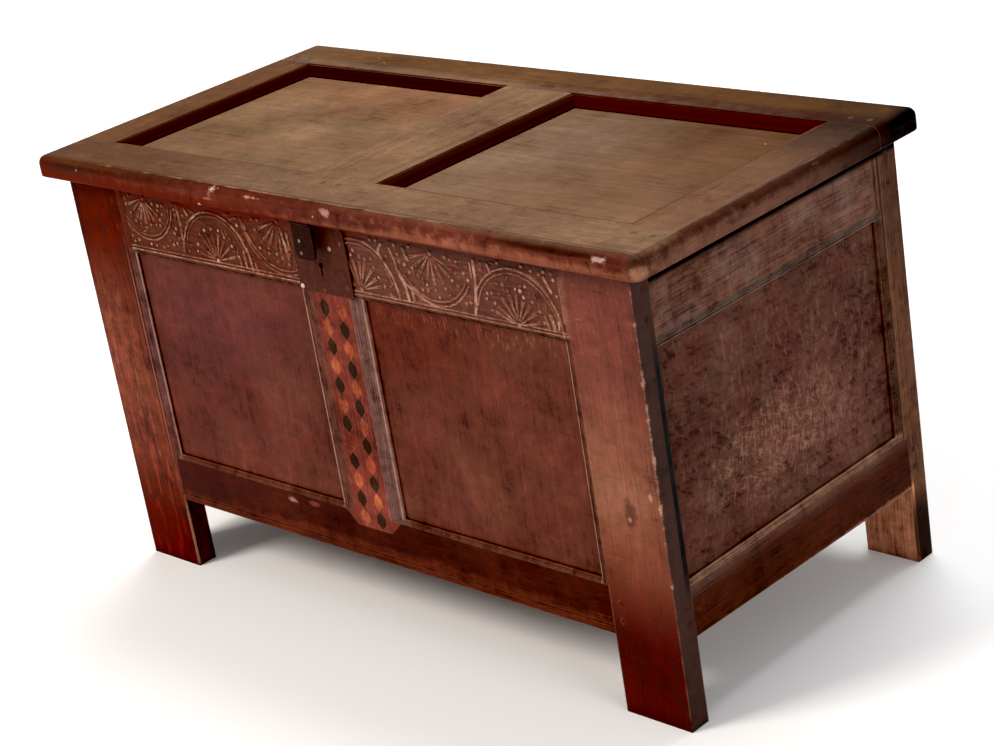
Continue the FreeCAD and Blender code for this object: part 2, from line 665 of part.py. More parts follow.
# ---- side frames, the left one the mirror image of the right -------------------------------------
def make_sides():
    depths = (0, side_rail_thickness)
    upper_v = side_top_edge + side_top_moulding
    lower_v = side_bottom_edge - side_bottom_moulding
    strip_flat = side_strip_edge + edge_strip_moulding
    cutters = [place(c, "right") for c in side_moulds + side_grooves] + side_holes

    rail = box((front_inner_y, side_strip_edge), depths, (side_top_edge, carcass_height))
    long_tenon_u = (side_strip_edge, back_inner_y + side_tenon_length)
    rail = joined(rail, tenon(side_front_tenon_u, side_top_tenon_v), tenon(long_tenon_u, side_top_tenon_v))
    top_rail = cut_away(place(rail, "right"), cutters)

    outline = [(front_inner_y, foot_height + side_rail_rise), (back_inner_y, foot_height),
               (back_inner_y, lower_v),
               (strip_flat, lower_v), (side_strip_edge, side_bottom_edge),
               (front_inner_y, side_bottom_edge)]
    rail = joined(board(outline, depths), tenon(side_front_tenon_u, side_bottom_tenon_v),
                  tenon(side_back_tenon_u, side_bottom_tenon_v))
    bottom_rail = cut_away(place(rail, "right"), cutters)

    outline = [(back_inner_y, lower_v), (back_inner_y, carcass_height),
               (side_strip_edge, carcass_height), (side_strip_edge, side_bottom_edge),
               (strip_flat, lower_v)]
    strip = cut_away(place(board(outline, depths), "right"), cutters + [place(strip_mortise, "right")])

    side_panel = place(panel(side_opening, panel_set_back, panel_thickness), "right")
    for name, shape in (("rail_side_top", top_rail), ("rail_side_bottom", bottom_rail),
                        ("edge_strip", strip), ("panel_side", side_panel)):
        keep(name + "_right", shape)
        keep(name + "_left", mirrored(shape))
    keep("pegs_sides", *(side_pegs + [mirrored(peg) for peg in side_pegs]))


# ---- back frame --------------------------------------------------------------------------------
hinge_places = (-back_post_inner + hinge_inset, back_post_inner - hinge_inset)


def make_back():
    depths = (0, rail_thickness)
    grooves = [place(c, "back") for c in back_grooves]
    muntin_tenon_u = (-back_panel_inner + tenon_shoulder, back_panel_inner - tenon_shoulder)
    upper_tenon_v = (back_top_edge, back_top_edge + tenon_length)
    lower_tenon_v = (back_bottom_edge - tenon_length, back_bottom_edge)
    seats = [mortise(muntin_tenon_u, v, upright=True) for v in (upper_tenon_v, lower_tenon_v)]
    cutters = grooves + back_holes + [place(seat, "back") for seat in seats]

    rail = box((-back_post_inner, back_post_inner), depths, (back_top_edge, carcass_height))
    rail = joined(rail, *[tenon((side * back_tenon_u[0], side * back_tenon_u[1]), back_top_tenon_v)
                          for side in (-1, 1)])
    nail_holes = [hole for x in hinge_places for hole in hinge_nail_shapes(x, "post", True)]
    keep("rail_back_top", cut_away(place(rail, "back"), cutters + nail_holes))

    rail = box((-back_post_inner, back_post_inner), depths, (foot_height, back_bottom_edge))
    rail = joined(rail, *[tenon((side * back_tenon_u[0], side * back_tenon_u[1]), back_bottom_tenon_v)
                          for side in (-1, 1)])
    keep("rail_back_bottom",
         cut_away(place(rail, "back"), cutters + [place(floor_groove_cutter(), "back")]))

    muntin = box((-back_panel_inner, back_panel_inner), depths, (back_bottom_edge, back_top_edge))
    muntin = joined(muntin, tenon(muntin_tenon_u, upper_tenon_v), tenon(muntin_tenon_u, lower_tenon_v))
    keep("muntin_back", cut_away(place(muntin, "back"), grooves))

    for side, opening in zip(("right", "left"), back_openings):
        keep("panel_back_" + side, place(panel(opening, panel_set_back, panel_thickness), "back"))
    keep("pegs_back", *back_pegs)


# ---- floor boards, running front to back in grooves of the long rails ----------------------------
def make_floor():
    inner_half = half_length - side_rail_thickness - floor_gap
    board_width = (2 * inner_half - (floor_board_count - 1) * floor_gap) / floor_board_count
    end_inset = rail_thickness - floor_groove + floor_gap
    y_range = (front_y + end_inset, back_y - end_inset)
    z_range = (floor_height, floor_height + floor_thickness)
    post_notches = []
    for side in (-1, 1):
        post_notches.append(box((side * (front_post_inner - floor_gap), side * half_length),
                                (front_y, front_inner_y + floor_gap), (0, carcass_height)))
        post_notches.append(box((side * (back_post_inner - floor_gap), side * half_length),
                                (back_inner_y - floor_gap, back_y), (0, carcass_height)))
    for index in range(floor_board_count):
        x0 = -inner_half + index * (board_width + floor_gap)
        plank = cut_away(box((x0, x0 + board_width), y_range, z_range), post_notches)
        keep("floor_board_%d" % (index + 1), plank)


# ---- hinges ------------------------------------------------------------------------------------
hinge_axis_y = back_y + hinge_axis_out
hinge_axis_z = carcass_height - hinge_axis_drop
knuckle_widths = hinge_leaf_root / 5


def knuckle_spans(x, which):
    """Five knuckles: the leaf on the post side has the outer and middle ones, the lid leaf the others."""
    wanted = (0, 2, 4) if which == "post" else (1, 3)
    start = x - hinge_leaf_root / 2
    return [(start + i * knuckle_widths, start + (i + 1) * knuckle_widths) for i in wanted]


def hinge_nail_shapes(x, which, hole):
    """Four flush nails through a leaf, or their holes."""
    made = []
    for reach in hinge_nail_reaches:
        half_width = (hinge_leaf_root + (hinge_leaf_end - hinge_leaf_root) * reach / hinge_leaf_length) / 2
        for side in (-1, 1):
            offset = side * (half_width - hinge_nail_inset)
            shape = flush_nail(hinge_leaf_thickness, hole)
            if which == "post":
                shape.rotate(Vector(0, 0, 0), Vector(0, 0, 1), 180)
                shape.translate(Vector(x + offset, back_y + hinge_leaf_thickness, hinge_axis_z - reach))
            else:
                shape.rotate(Vector(0, 0, 0), Vector(1, 0, 0), 90)
                shape.translate(Vector(x + offset, hinge_axis_y - reach, carcass_height))
            made.append(shape)
    return made


def knuckle(span, radius, y, z):
    return rod((span[0] + knuckle_gap / 2, y, z), (1, 0, 0), radius, span[1] - span[0] - knuckle_gap)


def leaf_outline(x, start, end):
    """A leaf that widens from its knuckles to its end, as (x, distance) points."""
    return [(x - hinge_leaf_root / 2, start), (x + hinge_leaf_root / 2, start),
            (x + hinge_leaf_end / 2, end), (x - hinge_leaf_end / 2, end)]


def make_hinges():
    carcass_nails, lid_nails = [], []
    for side, x in zip(("left", "right"), hinge_places):
        bore = rod((x - hinge_leaf_root, hinge_axis_y, hinge_axis_z), (1, 0, 0),
                   hinge_pin_radius + pin_gap, 2 * hinge_leaf_root)

        points = [Vector(u, back_y, hinge_axis_z - v) for u, v in leaf_outline(x, 0, hinge_leaf_length)]
        leaf = Part.Face(Part.makePolygon(points + points[:1])).extrude(
            Vector(0, hinge_leaf_thickness, 0))
        leaf = joined(leaf, *[knuckle(s, hinge_knuckle_radius, hinge_axis_y, hinge_axis_z)
                              for s in knuckle_spans(x, "post")])
        room = [knuckle((s[0] - knuckle_gap, s[1] + knuckle_gap), hinge_knuckle_radius + knuckle_gap,
                        hinge_axis_y, hinge_axis_z) for s in knuckle_spans(x, "lid")]
        keep("hinge_leaf_back_" + side,
             cut_away(leaf, room + [bore] + hinge_nail_shapes(x, "post", True)))

        points = [Vector(u, hinge_axis_y - v, carcass_height)
                  for u, v in leaf_outline(x, 0, hinge_leaf_length)]
        leaf = Part.Face(Part.makePolygon(points + points[:1])).extrude(
            Vector(0, 0, hinge_leaf_thickness))
        leaf = joined(leaf, *[knuckle(s, hinge_knuckle_radius, hinge_axis_y, hinge_axis_z)
                              for s in knuckle_spans(x, "lid")])
        room = [knuckle((s[0] - knuckle_gap, s[1] + knuckle_gap), hinge_knuckle_radius + knuckle_gap,
                        hinge_axis_y, hinge_axis_z) for s in knuckle_spans(x, "post")]
        keep("hinge_leaf_lid_" + side, cut_away(leaf, room + [bore] + hinge_nail_shapes(x, "lid", True)))

        keep("hinge_pin_" + side, rod((x - hinge_leaf_root / 2, hinge_axis_y, hinge_axis_z), (1, 0, 0),
                                      hinge_pin_radius, hinge_leaf_root))
        carcass_nails += hinge_nail_shapes(x, "post", False)
        lid_nails += hinge_nail_shapes(x, "lid", False)
    keep("hinge_nails_back", *carcass_nails)
    return lid_nails


def hinge_recesses():
    """Recesses under the lid that take the leaves flush and clear the knuckles."""
    made = []
    for x in hinge_places:
        grown = [(u + math.copysign(leaf_gap, u - x), v) for u, v in leaf_outline(x, 0, hinge_leaf_length)]
        points = [Vector(u, hinge_axis_y - v - (leaf_gap if v > 0 else 0), carcass_height - past)
                  for u, v in grown]
        made.append(Part.Face(Part.makePolygon(points + points[:1])).extrude(
            Vector(0, 0, past + hinge_leaf_thickness)))
        span = (x - hinge_leaf_root / 2 - knuckle_gap, x + hinge_leaf_root / 2 + knuckle_gap)
        room = hinge_knuckle_radius + knuckle_gap
        made.append(box(span, (hinge_axis_y - room, hinge_axis_y + room),
                        (carcass_height - past, hinge_axis_z + room)))
        made += hinge_nail_shapes(x, "lid", True)
    return made


# ---- hasp --------------------------------------------------------------------------------------
hasp_leaf_nail_spots = [(hasp_centre + side * (hasp_leaf_width / 2 - hasp_leaf_nail_inset),
                         hasp_leaf_length - hasp_leaf_nail_inset - step * hasp_leaf_nail_pitch)
                        for side in (-1, 1) for step in (0, 1)]


def hasp_leaf_nails(hole):
    made = []
    for x, reach in hasp_leaf_nail_spots:
        shape = flush_nail(hasp_thickness, hole)
        shape.rotate(Vector(0, 0, 0), Vector(1, 0, 0), 90)
        shape.translate(Vector(x, hasp_axis_y + reach, carcass_height))
        made.append(shape)
    return made


def hasp_recess():
    room = hasp_knuckle_radius + knuckle_gap
    leaf = box((hasp_centre - hasp_leaf_width / 2 - leaf_gap, hasp_centre + hasp_leaf_width / 2 + leaf_gap),
               (hasp_axis_y - room, hasp_axis_y + hasp_leaf_length + leaf_gap),
               (carcass_height - past, carcass_height + hasp_thickness))
    knuckles = box((hasp_centre - hasp_width / 2 - knuckle_gap, hasp_centre + hasp_width / 2 + knuckle_gap),
                   (hasp_axis_y - room, hasp_axis_y + room), (carcass_height - past, hasp_axis_z + room))
    return [leaf, knuckles] + hasp_leaf_nails(True)


def make_hasp():
    bore = rod((hasp_centre - hasp_width, hasp_axis_y, hasp_axis_z), (1, 0, 0),
               hasp_pin_radius + pin_gap, 2 * hasp_width)
    middle = (hasp_centre - hasp_knuckle_width / 2, hasp_centre + hasp_knuckle_width / 2)
    left = (hasp_centre - hasp_leaf_width / 2, middle[0])
    right = (middle[1], hasp_centre + hasp_leaf_width / 2)

    leaf = box((left[0], right[1]), (hasp_axis_y, hasp_axis_y + hasp_leaf_length),
               (carcass_height, carcass_height + hasp_thickness))
    leaf = joined(leaf, *[knuckle(s, hasp_knuckle_radius, hasp_axis_y, hasp_axis_z)
                          for s in (left, right)])
    room = hasp_knuckle_radius + knuckle_gap
    clear = knuckle((middle[0] - knuckle_gap, middle[1] + knuckle_gap), room, hasp_axis_y, hasp_axis_z)
    keep("hasp_leaf", cut_away(leaf, [clear, bore] + hasp_leaf_nails(True)))
    keep("hasp_pin", rod((left[0], hasp_axis_y, hasp_axis_z), (1, 0, 0), hasp_pin_radius,
                         right[1] - left[0]))

    # the strap hangs plumb from its knuckle
    low = hasp_axis_z - hasp_length
    back_plane = hasp_axis_y + hasp_thickness / 2
    strap = box((hasp_centre - hasp_width / 2, hasp_centre + hasp_width / 2),
                (hasp_axis_y - hasp_thickness / 2, back_plane), (low, hasp_axis_z))
    lower_corners = [edge for edge in strap.Edges
                     if edge.BoundBox.ZMax < hasp_axis_z - hasp_length / 2
                     and edge.BoundBox.YLength > hasp_thickness / 2]
    strap = strap.makeFillet(hasp_corner, lower_corners)
    reach = (-room, room)
    clear_sides = [box(span, [hasp_axis_y + r for r in reach], [hasp_axis_z + r for r in reach])
                   for span in ((hasp_centre - hasp_width, middle[0] + knuckle_gap / 2),
                                (middle[1] - knuckle_gap / 2, hasp_centre + hasp_width))]
    strap = joined(cut_away(strap, clear_sides),
                   knuckle(middle, hasp_knuckle_radius, hasp_axis_y, hasp_axis_z))

    legs_z = [hasp_axis_z - staple_drop + side * staple_spread / 2 for side in (-1, 1)]
    leg_holes = [rod((staple_u, hasp_axis_y - hasp_thickness, z), (0, 1, 0),
                     staple_wire / 2 + nail_gap, 2 * hasp_thickness) for z in legs_z]
    keep("hasp_strap", cut_away(strap, [bore] + leg_holes))

    # the staple: two legs riveted over on the face of the hasp, and the bar that joins them
    outer = back_plane + staple_reach
    legs = [rod((staple_u, hasp_axis_y - hasp_thickness / 2, z), (0, 1, 0), staple_wire / 2,
                outer - (hasp_axis_y - hasp_thickness / 2) - staple_wire / 2) for z in legs_z]
    bar = rod((staple_u, outer - staple_wire / 2, legs_z[0]), (0, 0, 1), staple_wire / 2, staple_spread)
    corners = [Part.makeSphere(staple_wire / 2, Vector(staple_u, outer - staple_wire / 2, z))
               for z in legs_z]
    rivets = [Part.makeCone(rivet_radius, rivet_radius * rivet_taper, rivet_rise,
                            Vector(staple_u, hasp_axis_y - hasp_thickness / 2, z), Vector(0, -1, 0))
              for z in legs_z]
    keep("hasp_staple", joined(*(legs + [bar] + corners + rivets)))


# ---- lid ---------------------------------------------------------------------------------------
def lid_envelope():
    """The lid's outer shape: rounded corners, a thumb moulding above and a small round below."""
    solid = box((-lid_length / 2, lid_length / 2), (-lid_depth / 2, lid_depth / 2),
                (carcass_height, lid_top))
    uprights = [edge for edge in solid.Edges if edge.BoundBox.ZLength > lid_thickness / 2]
    solid = solid.makeFillet(lid_corner_round, uprights)
    top_edges = [edge for edge in solid.Edges if edge.BoundBox.ZMin > lid_top - 0.01]
    solid = solid.makeFillet(lid_edge_round, top_edges)
    low_edges = [edge for edge in solid.Edges if edge.BoundBox.ZMax < carcass_height + 0.01]
    return solid.makeFillet(lid_under_round, low_edges)


def make_lid(lid_nails):
    envelope = lid_envelope()
    moulds = [c for o in lid_openings.values() for c in moulding_cutters(o, lid_profile)]
    grooves = [groove_cutter(o, lid_panel_set_back, lid_panel_thickness) for o in lid_openings.values()]
    tenon_range = (lid_tenon_inset, lid_tenon_inset + tenon_thickness)
    stile_tenon_u = (lid_flat_x + tenon_shoulder, lid_length / 2 - 2 * tenon_shoulder)
    muntin_tenon_u = (lid_muntin_left + tenon_shoulder, lid_muntin_right - tenon_shoulder)
    front_v = (lid_flat_front - lid_tenon_length, lid_flat_front)
    back_v = (lid_flat_back, lid_flat_back + lid_tenon_length)

    left_tenon_u = (-stile_tenon_u[0], -stile_tenon_u[1])
    spots = []
    for tenon_u in (stile_tenon_u, left_tenon_u, muntin_tenon_u):
        middle = (tenon_u[0] + tenon_u[1]) / 2
        for v_range in (front_v, back_v):
            spots += [(middle + side * lid_peg_spread / 2, (v_range[0] + v_range[1]) / 2)
                      for side in (-1, 1)]
    lid_pegs, lid_holes = pegs("lid", spots)
    keep("pegs_lid", *lid_pegs)

    shaping = [place(c, "lid") for c in moulds + grooves] + lid_holes
    under = hinge_recesses() + hasp_recess()
    blank = (0, lid_thickness)

    def finish(shape, extra=()):
        return cut_away(place(shape, "lid").common(envelope), shaping + under + list(extra))

    left = lid_openings["left"]["u"]
    right = lid_openings["right"]["u"]
    low, high = lid_v
    inner_edge = [(lid_flat_x, lid_flat_front), (right[1], low), (right[0], low),
                  (lid_muntin_right, lid_flat_front), (lid_muntin_left, lid_flat_front), (left[1], low),
                  (left[0], low), (-lid_flat_x, lid_flat_front), (-lid_length / 2, lid_flat_front)]
    outline = [(-lid_length / 2, -lid_depth / 2), (lid_length / 2, -lid_depth / 2),
               (lid_length / 2, lid_flat_front)] + inner_edge
    tenon_spans = (stile_tenon_u, left_tenon_u, muntin_tenon_u)
    seats = [place(mortise(u, front_v, tenon_range, True), "lid") for u in tenon_spans]
    keep("lid_rail_front", finish(board(outline, blank), seats))

    inner_edge = [(lid_flat_x, lid_flat_back), (right[1], high), (right[0], high),
                  (lid_muntin_right, lid_flat_back), (lid_muntin_left, lid_flat_back), (left[1], high),
                  (left[0], high), (-lid_flat_x, lid_flat_back), (-lid_length / 2, lid_flat_back)]
    outline = [(-lid_length / 2, lid_depth / 2), (lid_length / 2, lid_depth / 2),
               (lid_length / 2, lid_flat_back)] + inner_edge
    seats = [place(mortise(u, back_v, tenon_range, True), "lid") for u in tenon_spans]
    keep("lid_rail_back", finish(board(outline, blank), seats))

    for name, outer, inner, tenon_u in (
            ("lid_stile_right", lid_length / 2, (lid_flat_x, right[1]), stile_tenon_u),
            ("lid_stile_left", -lid_length / 2, (-lid_flat_x, left[0]), left_tenon_u)):
        outline = [(outer, lid_flat_front), (inner[0], lid_flat_front), (inner[1], low), (inner[1], high),
                   (inner[0], lid_flat_back), (outer, lid_flat_back)]
        stile = joined(board(outline, blank), *[tenon(tenon_u, v, tenon_range) for v in (front_v, back_v)])
        keep(name, finish(stile))

    outline = [(lid_muntin_left, lid_flat_front), (lid_muntin_right, lid_flat_front), (right[0], low),
               (right[0], high), (lid_muntin_right, lid_flat_back), (lid_muntin_left, lid_flat_back),
               (left[1], high), (left[1], low)]
    muntin = joined(board(outline, blank),
                    *[tenon(muntin_tenon_u, v, tenon_range) for v in (front_v, back_v)])
    keep("lid_muntin", finish(muntin))

    for side, opening in lid_openings.items():
        keep("lid_panel_" + side, place(panel(opening, lid_panel_set_back, lid_panel_thickness), "lid"))
    keep("lid_nails", *(lid_nails + hasp_leaf_nails(False)))


# ---- build and write ---------------------------------------------------------------------------
make_posts()
make_lock()
make_front()
make_sides()
make_back()
make_floor()
make_lid(make_hinges())
make_hasp()

os.makedirs("parts", exist_ok=True)
for name, shape in nodes.items():
    shape.exportStep("parts/" + name + ".step")
    print("%-24s solids %2d  volume %10.0f  %s" % (name, len(shape.Solids), shape.Volume, shape.isValid()))
print(len(nodes), "nodes")
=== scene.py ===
import math
from functools import partial

import bmesh
import bpy
import numpy as np
from mathutils import Matrix, Vector


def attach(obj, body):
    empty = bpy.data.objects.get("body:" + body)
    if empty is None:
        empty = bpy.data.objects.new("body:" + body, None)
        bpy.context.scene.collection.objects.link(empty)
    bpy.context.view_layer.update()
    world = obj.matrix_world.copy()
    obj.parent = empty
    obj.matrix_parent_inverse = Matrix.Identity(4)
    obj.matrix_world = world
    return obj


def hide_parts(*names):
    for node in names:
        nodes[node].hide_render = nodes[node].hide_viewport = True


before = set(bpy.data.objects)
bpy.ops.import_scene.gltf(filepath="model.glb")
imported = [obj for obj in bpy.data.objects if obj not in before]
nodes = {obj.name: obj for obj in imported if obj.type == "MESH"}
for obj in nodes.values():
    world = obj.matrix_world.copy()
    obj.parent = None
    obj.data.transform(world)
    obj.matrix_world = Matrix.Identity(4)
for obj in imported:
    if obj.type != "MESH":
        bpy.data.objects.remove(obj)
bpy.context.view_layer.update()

mm = 0.001
tiny = 1e-6  # m, nearer than this is the same place
print("frame loaded:", len(nodes), "nodes")


def fromHex(code):  # an sRGB hex value as linear light
    parts = [int(code[i : i + 2], 16) / 255 for i in (1, 3, 5)]
    return [p / 12.92 if p <= 0.04045 else ((p + 0.055) / 1.055) ** 2.4 for p in parts] + [1.0]


def addNode(tree, kind, inputs=None, out=None, **settings):
    node = tree.nodes.new("ShaderNode" + kind)
    for name, value in settings.items():
        setattr(node, name, value)
    for socket, value in (inputs or {}).items():
        if isinstance(value, bpy.types.NodeSocket):
            tree.links.new(value, node.inputs[socket])
        else:
            node.inputs[socket].default_value = value
    return node.outputs[out] if out else next((s for s in node.outputs if s.enabled), None)


def newMaterial(name):  # the material, and addNode for its own tree
    material = bpy.data.materials.new(name)
    material.use_nodes = True
    material.node_tree.nodes.clear()
    return material, partial(addNode, material.node_tree)


def addObject(name, data):
    thing = bpy.data.objects.new(name, data)
    bpy.context.scene.collection.objects.link(thing)
    return thing


def addPiece(bm, name, material):
    mesh = bpy.data.meshes.new(name)
    bm.to_mesh(mesh)
    bm.free()
    mesh.materials.append(material)
    return addObject(name, mesh)


# camera, floor and studio lights
studio = {
    "eye": (2.150125, -1.996334, 1.478695),  # m
    "right": (0.71962651, 0.6774334, -0.15238658),  # which way the camera's own axes point
    "up": (-0.16196, 0.37718, 0.91188),
    "lens": 86.84,  # mm
    "sensor": 36,  # mm wide
    "farthest": 100,  # m, what lies beyond isn't drawn
    "floor": "#fafafa",
    "floorRough": 0.95,
    "floorSide": 40,  # m
    "world": "#ffffff",
    "worldStrength": 0.36,
    "black": 0.01,  # light below this prints black, as on a contrasty studio print
    # name: place, point it faces, width and height in m, watts, colour
    "lights": {
        "keyLight": ((-3.0, -5.4, 5.8), (0, 0, 0.4), 2.6, 2.6, 480, "#fff6ec"),
        "fillLight": ((7.2, -1.2, 3.2), (0.2, 0, 0.3), 4.0, 3.4, 215, "#ffffff"),
        "topLight": ((-0.6, 2.8, 6.4), (0, 0, 0.6), 4.8, 3.2, 345, "#ffffff"),
    },
}


def makeStudio():
    camera = addObject("camera", bpy.data.cameras.new("camera"))
    right, up = Vector(studio["right"]).normalized(), Vector(studio["up"]).normalized()
    turn = Matrix((right, up, right.cross(up))).transposed().to_4x4()
    camera.matrix_world = Matrix.Translation(studio["eye"]) @ turn
    camera.data.lens = studio["lens"]
    camera.data.sensor_width = studio["sensor"]
    camera.data.clip_end = studio["farthest"]
    bpy.context.scene.camera = camera

    for name, (place, target, width, height, watts, colour) in studio["lights"].items():
        light = bpy.data.lights.new(name, "AREA")
        light.shape = "RECTANGLE"
        light.size, light.size_y = width, height
        light.energy = watts
        light.color = fromHex(colour)[:3]
        aim = Vector(target) - Vector(place)
        aim = aim.to_track_quat("-Z", "Y").to_matrix().to_4x4()
        addObject(name, light).matrix_world = Matrix.Translation(place) @ aim

    world = bpy.data.worlds.new("studioWorld")
    world.use_nodes = True
    background = world.node_tree.nodes["Background"]
    background.inputs["Color"].default_value = fromHex(studio["world"])
    background.inputs["Strength"].default_value = studio["worldStrength"]
    bpy.context.scene.world = world

    # painted paper sweep: matt, nearly white, so that the shadows stay soft and pale
    paper = bpy.data.materials.new("mattWhitePaper")
    paper.use_nodes = True
    shader = paper.node_tree.nodes["Principled BSDF"]
    shader.inputs["Base Color"].default_value = fromHex(studio["floor"])
    shader.inputs["Roughness"].default_value = studio["floorRough"]
    bm = bmesh.new()
    bmesh.ops.create_grid(bm, x_segments=1, y_segments=1, size=studio["floorSide"] / 2)
    floor = addPiece(bm, "floor", paper)
    view = bpy.context.scene.view_settings
    view.view_transform = "Standard"
    view.use_curve_mapping = True
    view.curve_mapping.black_level = [studio["black"]] * 3
    view.curve_mapping.update()


makeStudio()
print("studio ready")


def arrises(add, width):  # the surface rounded over this width in mm, and how nearly flat it is
    rounded = add("Bevel", {"Radius": width * mm}, samples=4)
    flat = add("NewGeometry", out="Normal")
    return rounded, add("VectorMath", {0: rounded, 1: flat}, out="Value", operation="DOT_PRODUCT")


# oak, riven and planed by hand, stained and waxed over centuries: open pores along the grain, a dark
# reddish body that drifts towards brown, fine scuffs everywhere and pale worn arrises
far = 1e5  # mm, an area this large has no end
smooth = {"interpolation_type": "SMOOTHSTEP"}
oakBase = {
    "grain": 0,  # axis that the board's grain follows
    "face": 1,  # axis that the piece's show face looks along
    "streak": (110, 2.4),  # mm, length and width of a streak of growth rings
    "pore": (14, 0.9),  # mm, real pores are 0.3 wide, drawn coarser to show
    "sizes": {"blotch": 20, "patch": 120, "drift": 65, "rub": 9, "wave": 30, "sway": 160},  # mm
    "swayBy": 16,  # mm, how far the grain wanders
    "tone": "#5c2818",
    "drift": ("#5c3a22", 0.35),  # tone that comes and goes over the first, amount
    "dark": (0.38, 0.28, 0.24),  # what the darkest and the palest grain do to the tone
    "pale": (1.7, 1.8, 1.8),
    "under": [],  # patches with another tone
    "facings": [],  # sides with another tone: the way they face, tone, how nearly from and to
    "zones": [],  # stained, sunned and rubbed patches over all of it
    "over": [],  # patches laid over the wear as well
    "streaky": 1.7,  # how much streaks, patches and blotches darken or pale the tone
    "patchy": 1.2,
    "blotchy": 1.9,
    "poreDepth": 0.45,
    "scratched": 1.0,
    "marks": [],  # more scratches and rubbed streaks
    "lines": [],  # scribed lines, and pale lines painted as highlights: axis, place, width, tone, amount
    "edge": ("#9a6248", 0.7, 2.2),  # rubbed arrises: tone, amount, mm
    "plain": [],  # patches where no arris is rubbed, such as around the pegs
    "matte": [],  # patches where even the little reflection is turned down
    "grime": ("#0a0201", 0.9, 24),  # dirt in the pores, and dirt with painted shade in the corners: tone, amount, mm
    "ding": ("#c8a890", 0.6, 60),  # tone, amount, mm between dings
    "dingSize": (2.6, 1.2),  # mm, the largest, and how ragged
    "carved": ("#a8785e", 0.0, "#3c180e", 0.0),  # tone and amount on the tops, rubbed pale with a painted highlight, then in the ground, dirty with painted shade
    "rough": (0.42, 0.66),
    "relief": 0.45,  # mm, of which these are the shares
    "reliefShares": {"pore": -0.8, "wave": 1.8, "ding": -0.7},
    "gloss": 0.04,  # reflection, 0.5 is usual: kept low, so that dark wood stays deep in tone
    "ior": 1.5,
}


# a patch of another tone: its middle and half sizes in mm, then how much of it shows and how it ends; it is
# round unless it is a box
def patch(at, size, tone=None, amount=1, box=False, soft=0.3, ragged=0.6, sparse=0, faces=None):
    return {
        "at": at, "size": size, "tone": tone, "amount": amount, "box": box, "soft": soft,
        "ragged": ragged, "sparse": sparse, "faces": faces,
    }


# scratches lie in the show face: length and width in mm, turn in degrees from its first axis; a lift above
# nought makes them pale, and the higher "rare" is, the fewer there are
def scratch(lift, size, turn, rare, at=None, within=None):
    return {"lift": lift, "size": size, "turn": turn, "rare": rare, "at": at, "within": within}


scratches = [
    scratch(0.5, (55, 1.3), 32, 0.68),
    scratch(0.45, (30, 1.3), -58, 0.68),
    scratch(0.4, (80, 1.3), 4, 0.66),
    scratch(0.4, (14, 1.6), 75, 0.67),
    scratch(-0.5, (60, 1.4), -8, 0.66),
    scratch(-0.5, (40, 1.4), 84, 0.67),
]


